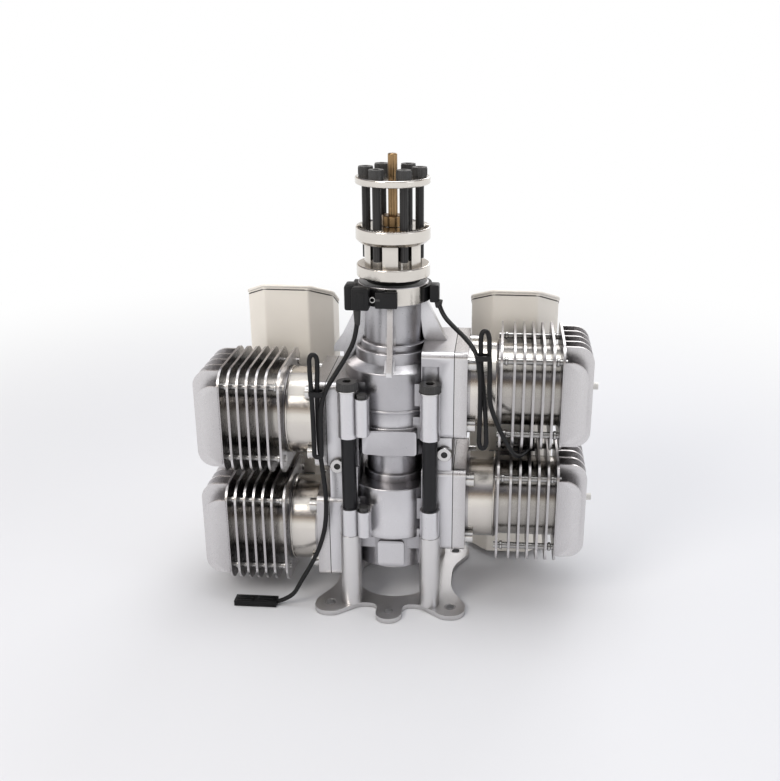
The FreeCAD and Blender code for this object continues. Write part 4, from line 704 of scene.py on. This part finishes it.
def pickup_holders():
    """The two pick-ups on short curved holders, in place of the plain clamp and blocks."""
    bm = bmesh.new()
    add_arc(bm, BAND_INNER, 23.6, 193.6, 203.6, 172, 263)
    add_arc(bm, BAND_INNER, 22.9, 194.5, 203.2, -32, 38)
    add_block(bm, (-7.9, -27.3, 193.9), (4.8, -22.4, 203.2), 0.5)
    holders = finish_mesh(bm, "pickup_clamp_bands", "black_plastic")
    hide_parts("sensor_clamp")
    bm = bmesh.new()
    add_block(bm, (-21.2, -29.8, 193), (-11.2, -22.2, 206.2), 1.1)
    add_block(bm, (-26.2, -24.5, 191.5), (-19.5, -12.5, 206.4), 1.2)
    add_block(bm, (-17.8, -30.2, 195), (-13.6, -28.6, 204), 0.5)
    add_block(bm, (22.4, -11.5, 194), (27.9, -2.6, 204.5), 0.9)
    sensors = finish_mesh(bm, "pickup_housings", "black_plastic")
    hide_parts("pickup_sensors")
    bm = bmesh.new()
    add_lathe(bm, [(0.7, 23.3), (0.7, 24.4), (1.2, 25.6), (1.7, 25.6), (1.9, 25.2), (1.9, 23.3)],
              (-9.6, 0, 198.6), "Y", 24, closed=True)
    face_front(bm)
    finish_mesh(bm, "pickup_screw", "bright_steel")


def lead_boots():
    """The rubber boots where the leads leave their pick-ups."""
    bm = bmesh.new()
    add_lathe(bm, [(1.4, 183.5), (1.6, 184), (2.3, 193.4), (1.4, 193.4)], LEFT_BOOT_AT, "Z", 24, closed=True)
    add_lathe(bm, [(1.5, 190.5), (1.8, 191), (2.6, 194.9), (1.5, 194.9)], RIGHT_BOOT_AT, "Z", 24, closed=True)
    finish_mesh(bm, "lead_boots", "seal_rubber")


def connector_shells():
    """Moulded housings with grip ridges over the plain connector blocks."""
    bm = bmesh.new()
    for start in HALF_STARTS:
        add_block(bm, (start, HALF_FRONT, 0.05), (start + HALF_LENGTH, HALF_BACK, 3.45), 0.4)
        for i in range(RIDGE_COUNT):
            y = HALF_FRONT + RIDGE_STEP * i
            add_block(bm, (start + 1.5, y + 0.7, 3.2), (start + 11.5, y + 2, 3.75), RIDGE_BEVEL)
    finish_mesh(bm, "left_connector_shell", "black_plastic")
    bm = bmesh.new()
    add_block(bm, (REST_LEFT, -8, REST_LOW), (REST_LEFT + 8, 5.4, REST_TOP), 0.4)
    for i in range(RIDGE_COUNT):
        x = REST_LEFT + RIDGE_STEP * i
        add_block(bm, (x + 0.7, -6.5, REST_TOP - 0.15), (x + 2, 4, REST_TOP + 0.45), RIDGE_BEVEL)
    finish_mesh(bm, "right_connector_shell", "black_plastic")


def carburettor_details():
    """An inlet ring, a fuel inlet and an idle screw with its spring on each carburettor."""
    fittings, springs = bmesh.new(), bmesh.new()
    inlet_ring = [(8.0, 79.5), (11.5, 79.5), (12.2, 80.4), (11.5, 81.6), (8.6, 81.8), (8.0, 81.0)]
    fuel_inlet = [(1.6, 18), (1.6, 24), (2.2, 24.6), (1.5, 26.6), (2.2, 27.2), (1.3, 29)]
    idle_screw = [(1.3, 18), (1.3, 27), (2.6, 27), (2.6, 29.4), (0.4, 29.4)]
    for middle in CARBURETTOR_HEIGHTS:
        inlet_at, screw_at = ((0, y, middle + above) for y, above in (FUEL_INLET_AT, IDLE_SCREW_AT))
        add_lathe(fittings, inlet_ring, (0, 0, middle), "Y", 48, closed=True)
        add_lathe(fittings, fuel_inlet, inlet_at, "X", 20)
        add_lathe(fittings, idle_screw, screw_at, "X", 20)
        for i in range(SPRING_TURNS):
            start = SPRING_START + i * SPRING_PITCH
            coil = [(1.5, start), (2.2, start + 0.2), (2.2, start + 0.6), (1.5, start + 0.8)]
            add_lathe(springs, coil, screw_at, "X", 20, closed=True)
    finish_mesh(fittings, "carburettor_fittings", "bright_alloy")
    finish_mesh(springs, "idle_springs", "bright_steel")


# ---- the scene -------------------------------------------------------------------------------------
bpy.context.scene.view_settings.view_transform = "Standard"
make_camera()
lead("left", LEFT_ROUTE)
lead("right", RIGHT_ROUTE)
dress_nodes()
make_floor()
shade_world()
lamp("key", (-0.6, -0.85, 0.9), 0.13, size=0.5, power=6.0, tint=(1, 0.95, 0.88))
lamp("fill", (0.95, -0.5, 0.45), 0.12, size=0.4, power=1.2, tint=(0.88, 0.93, 1))
lamp("top", (0.05, 0.10, 1.15), 0.1, size=0.5, power=3.6)
lamp("back", (0.3, 1.0, 0.7), 0.15, size=0.6, power=3.0)
knurls()
drum_serration()
washers()
muffler_lips()
fin_bolts()
barrel_rings()
case_links()
nose_webs()
nose_band()
pickup_holders()
lead_boots()
connector_shells()
plug_details()
carburettor_details()
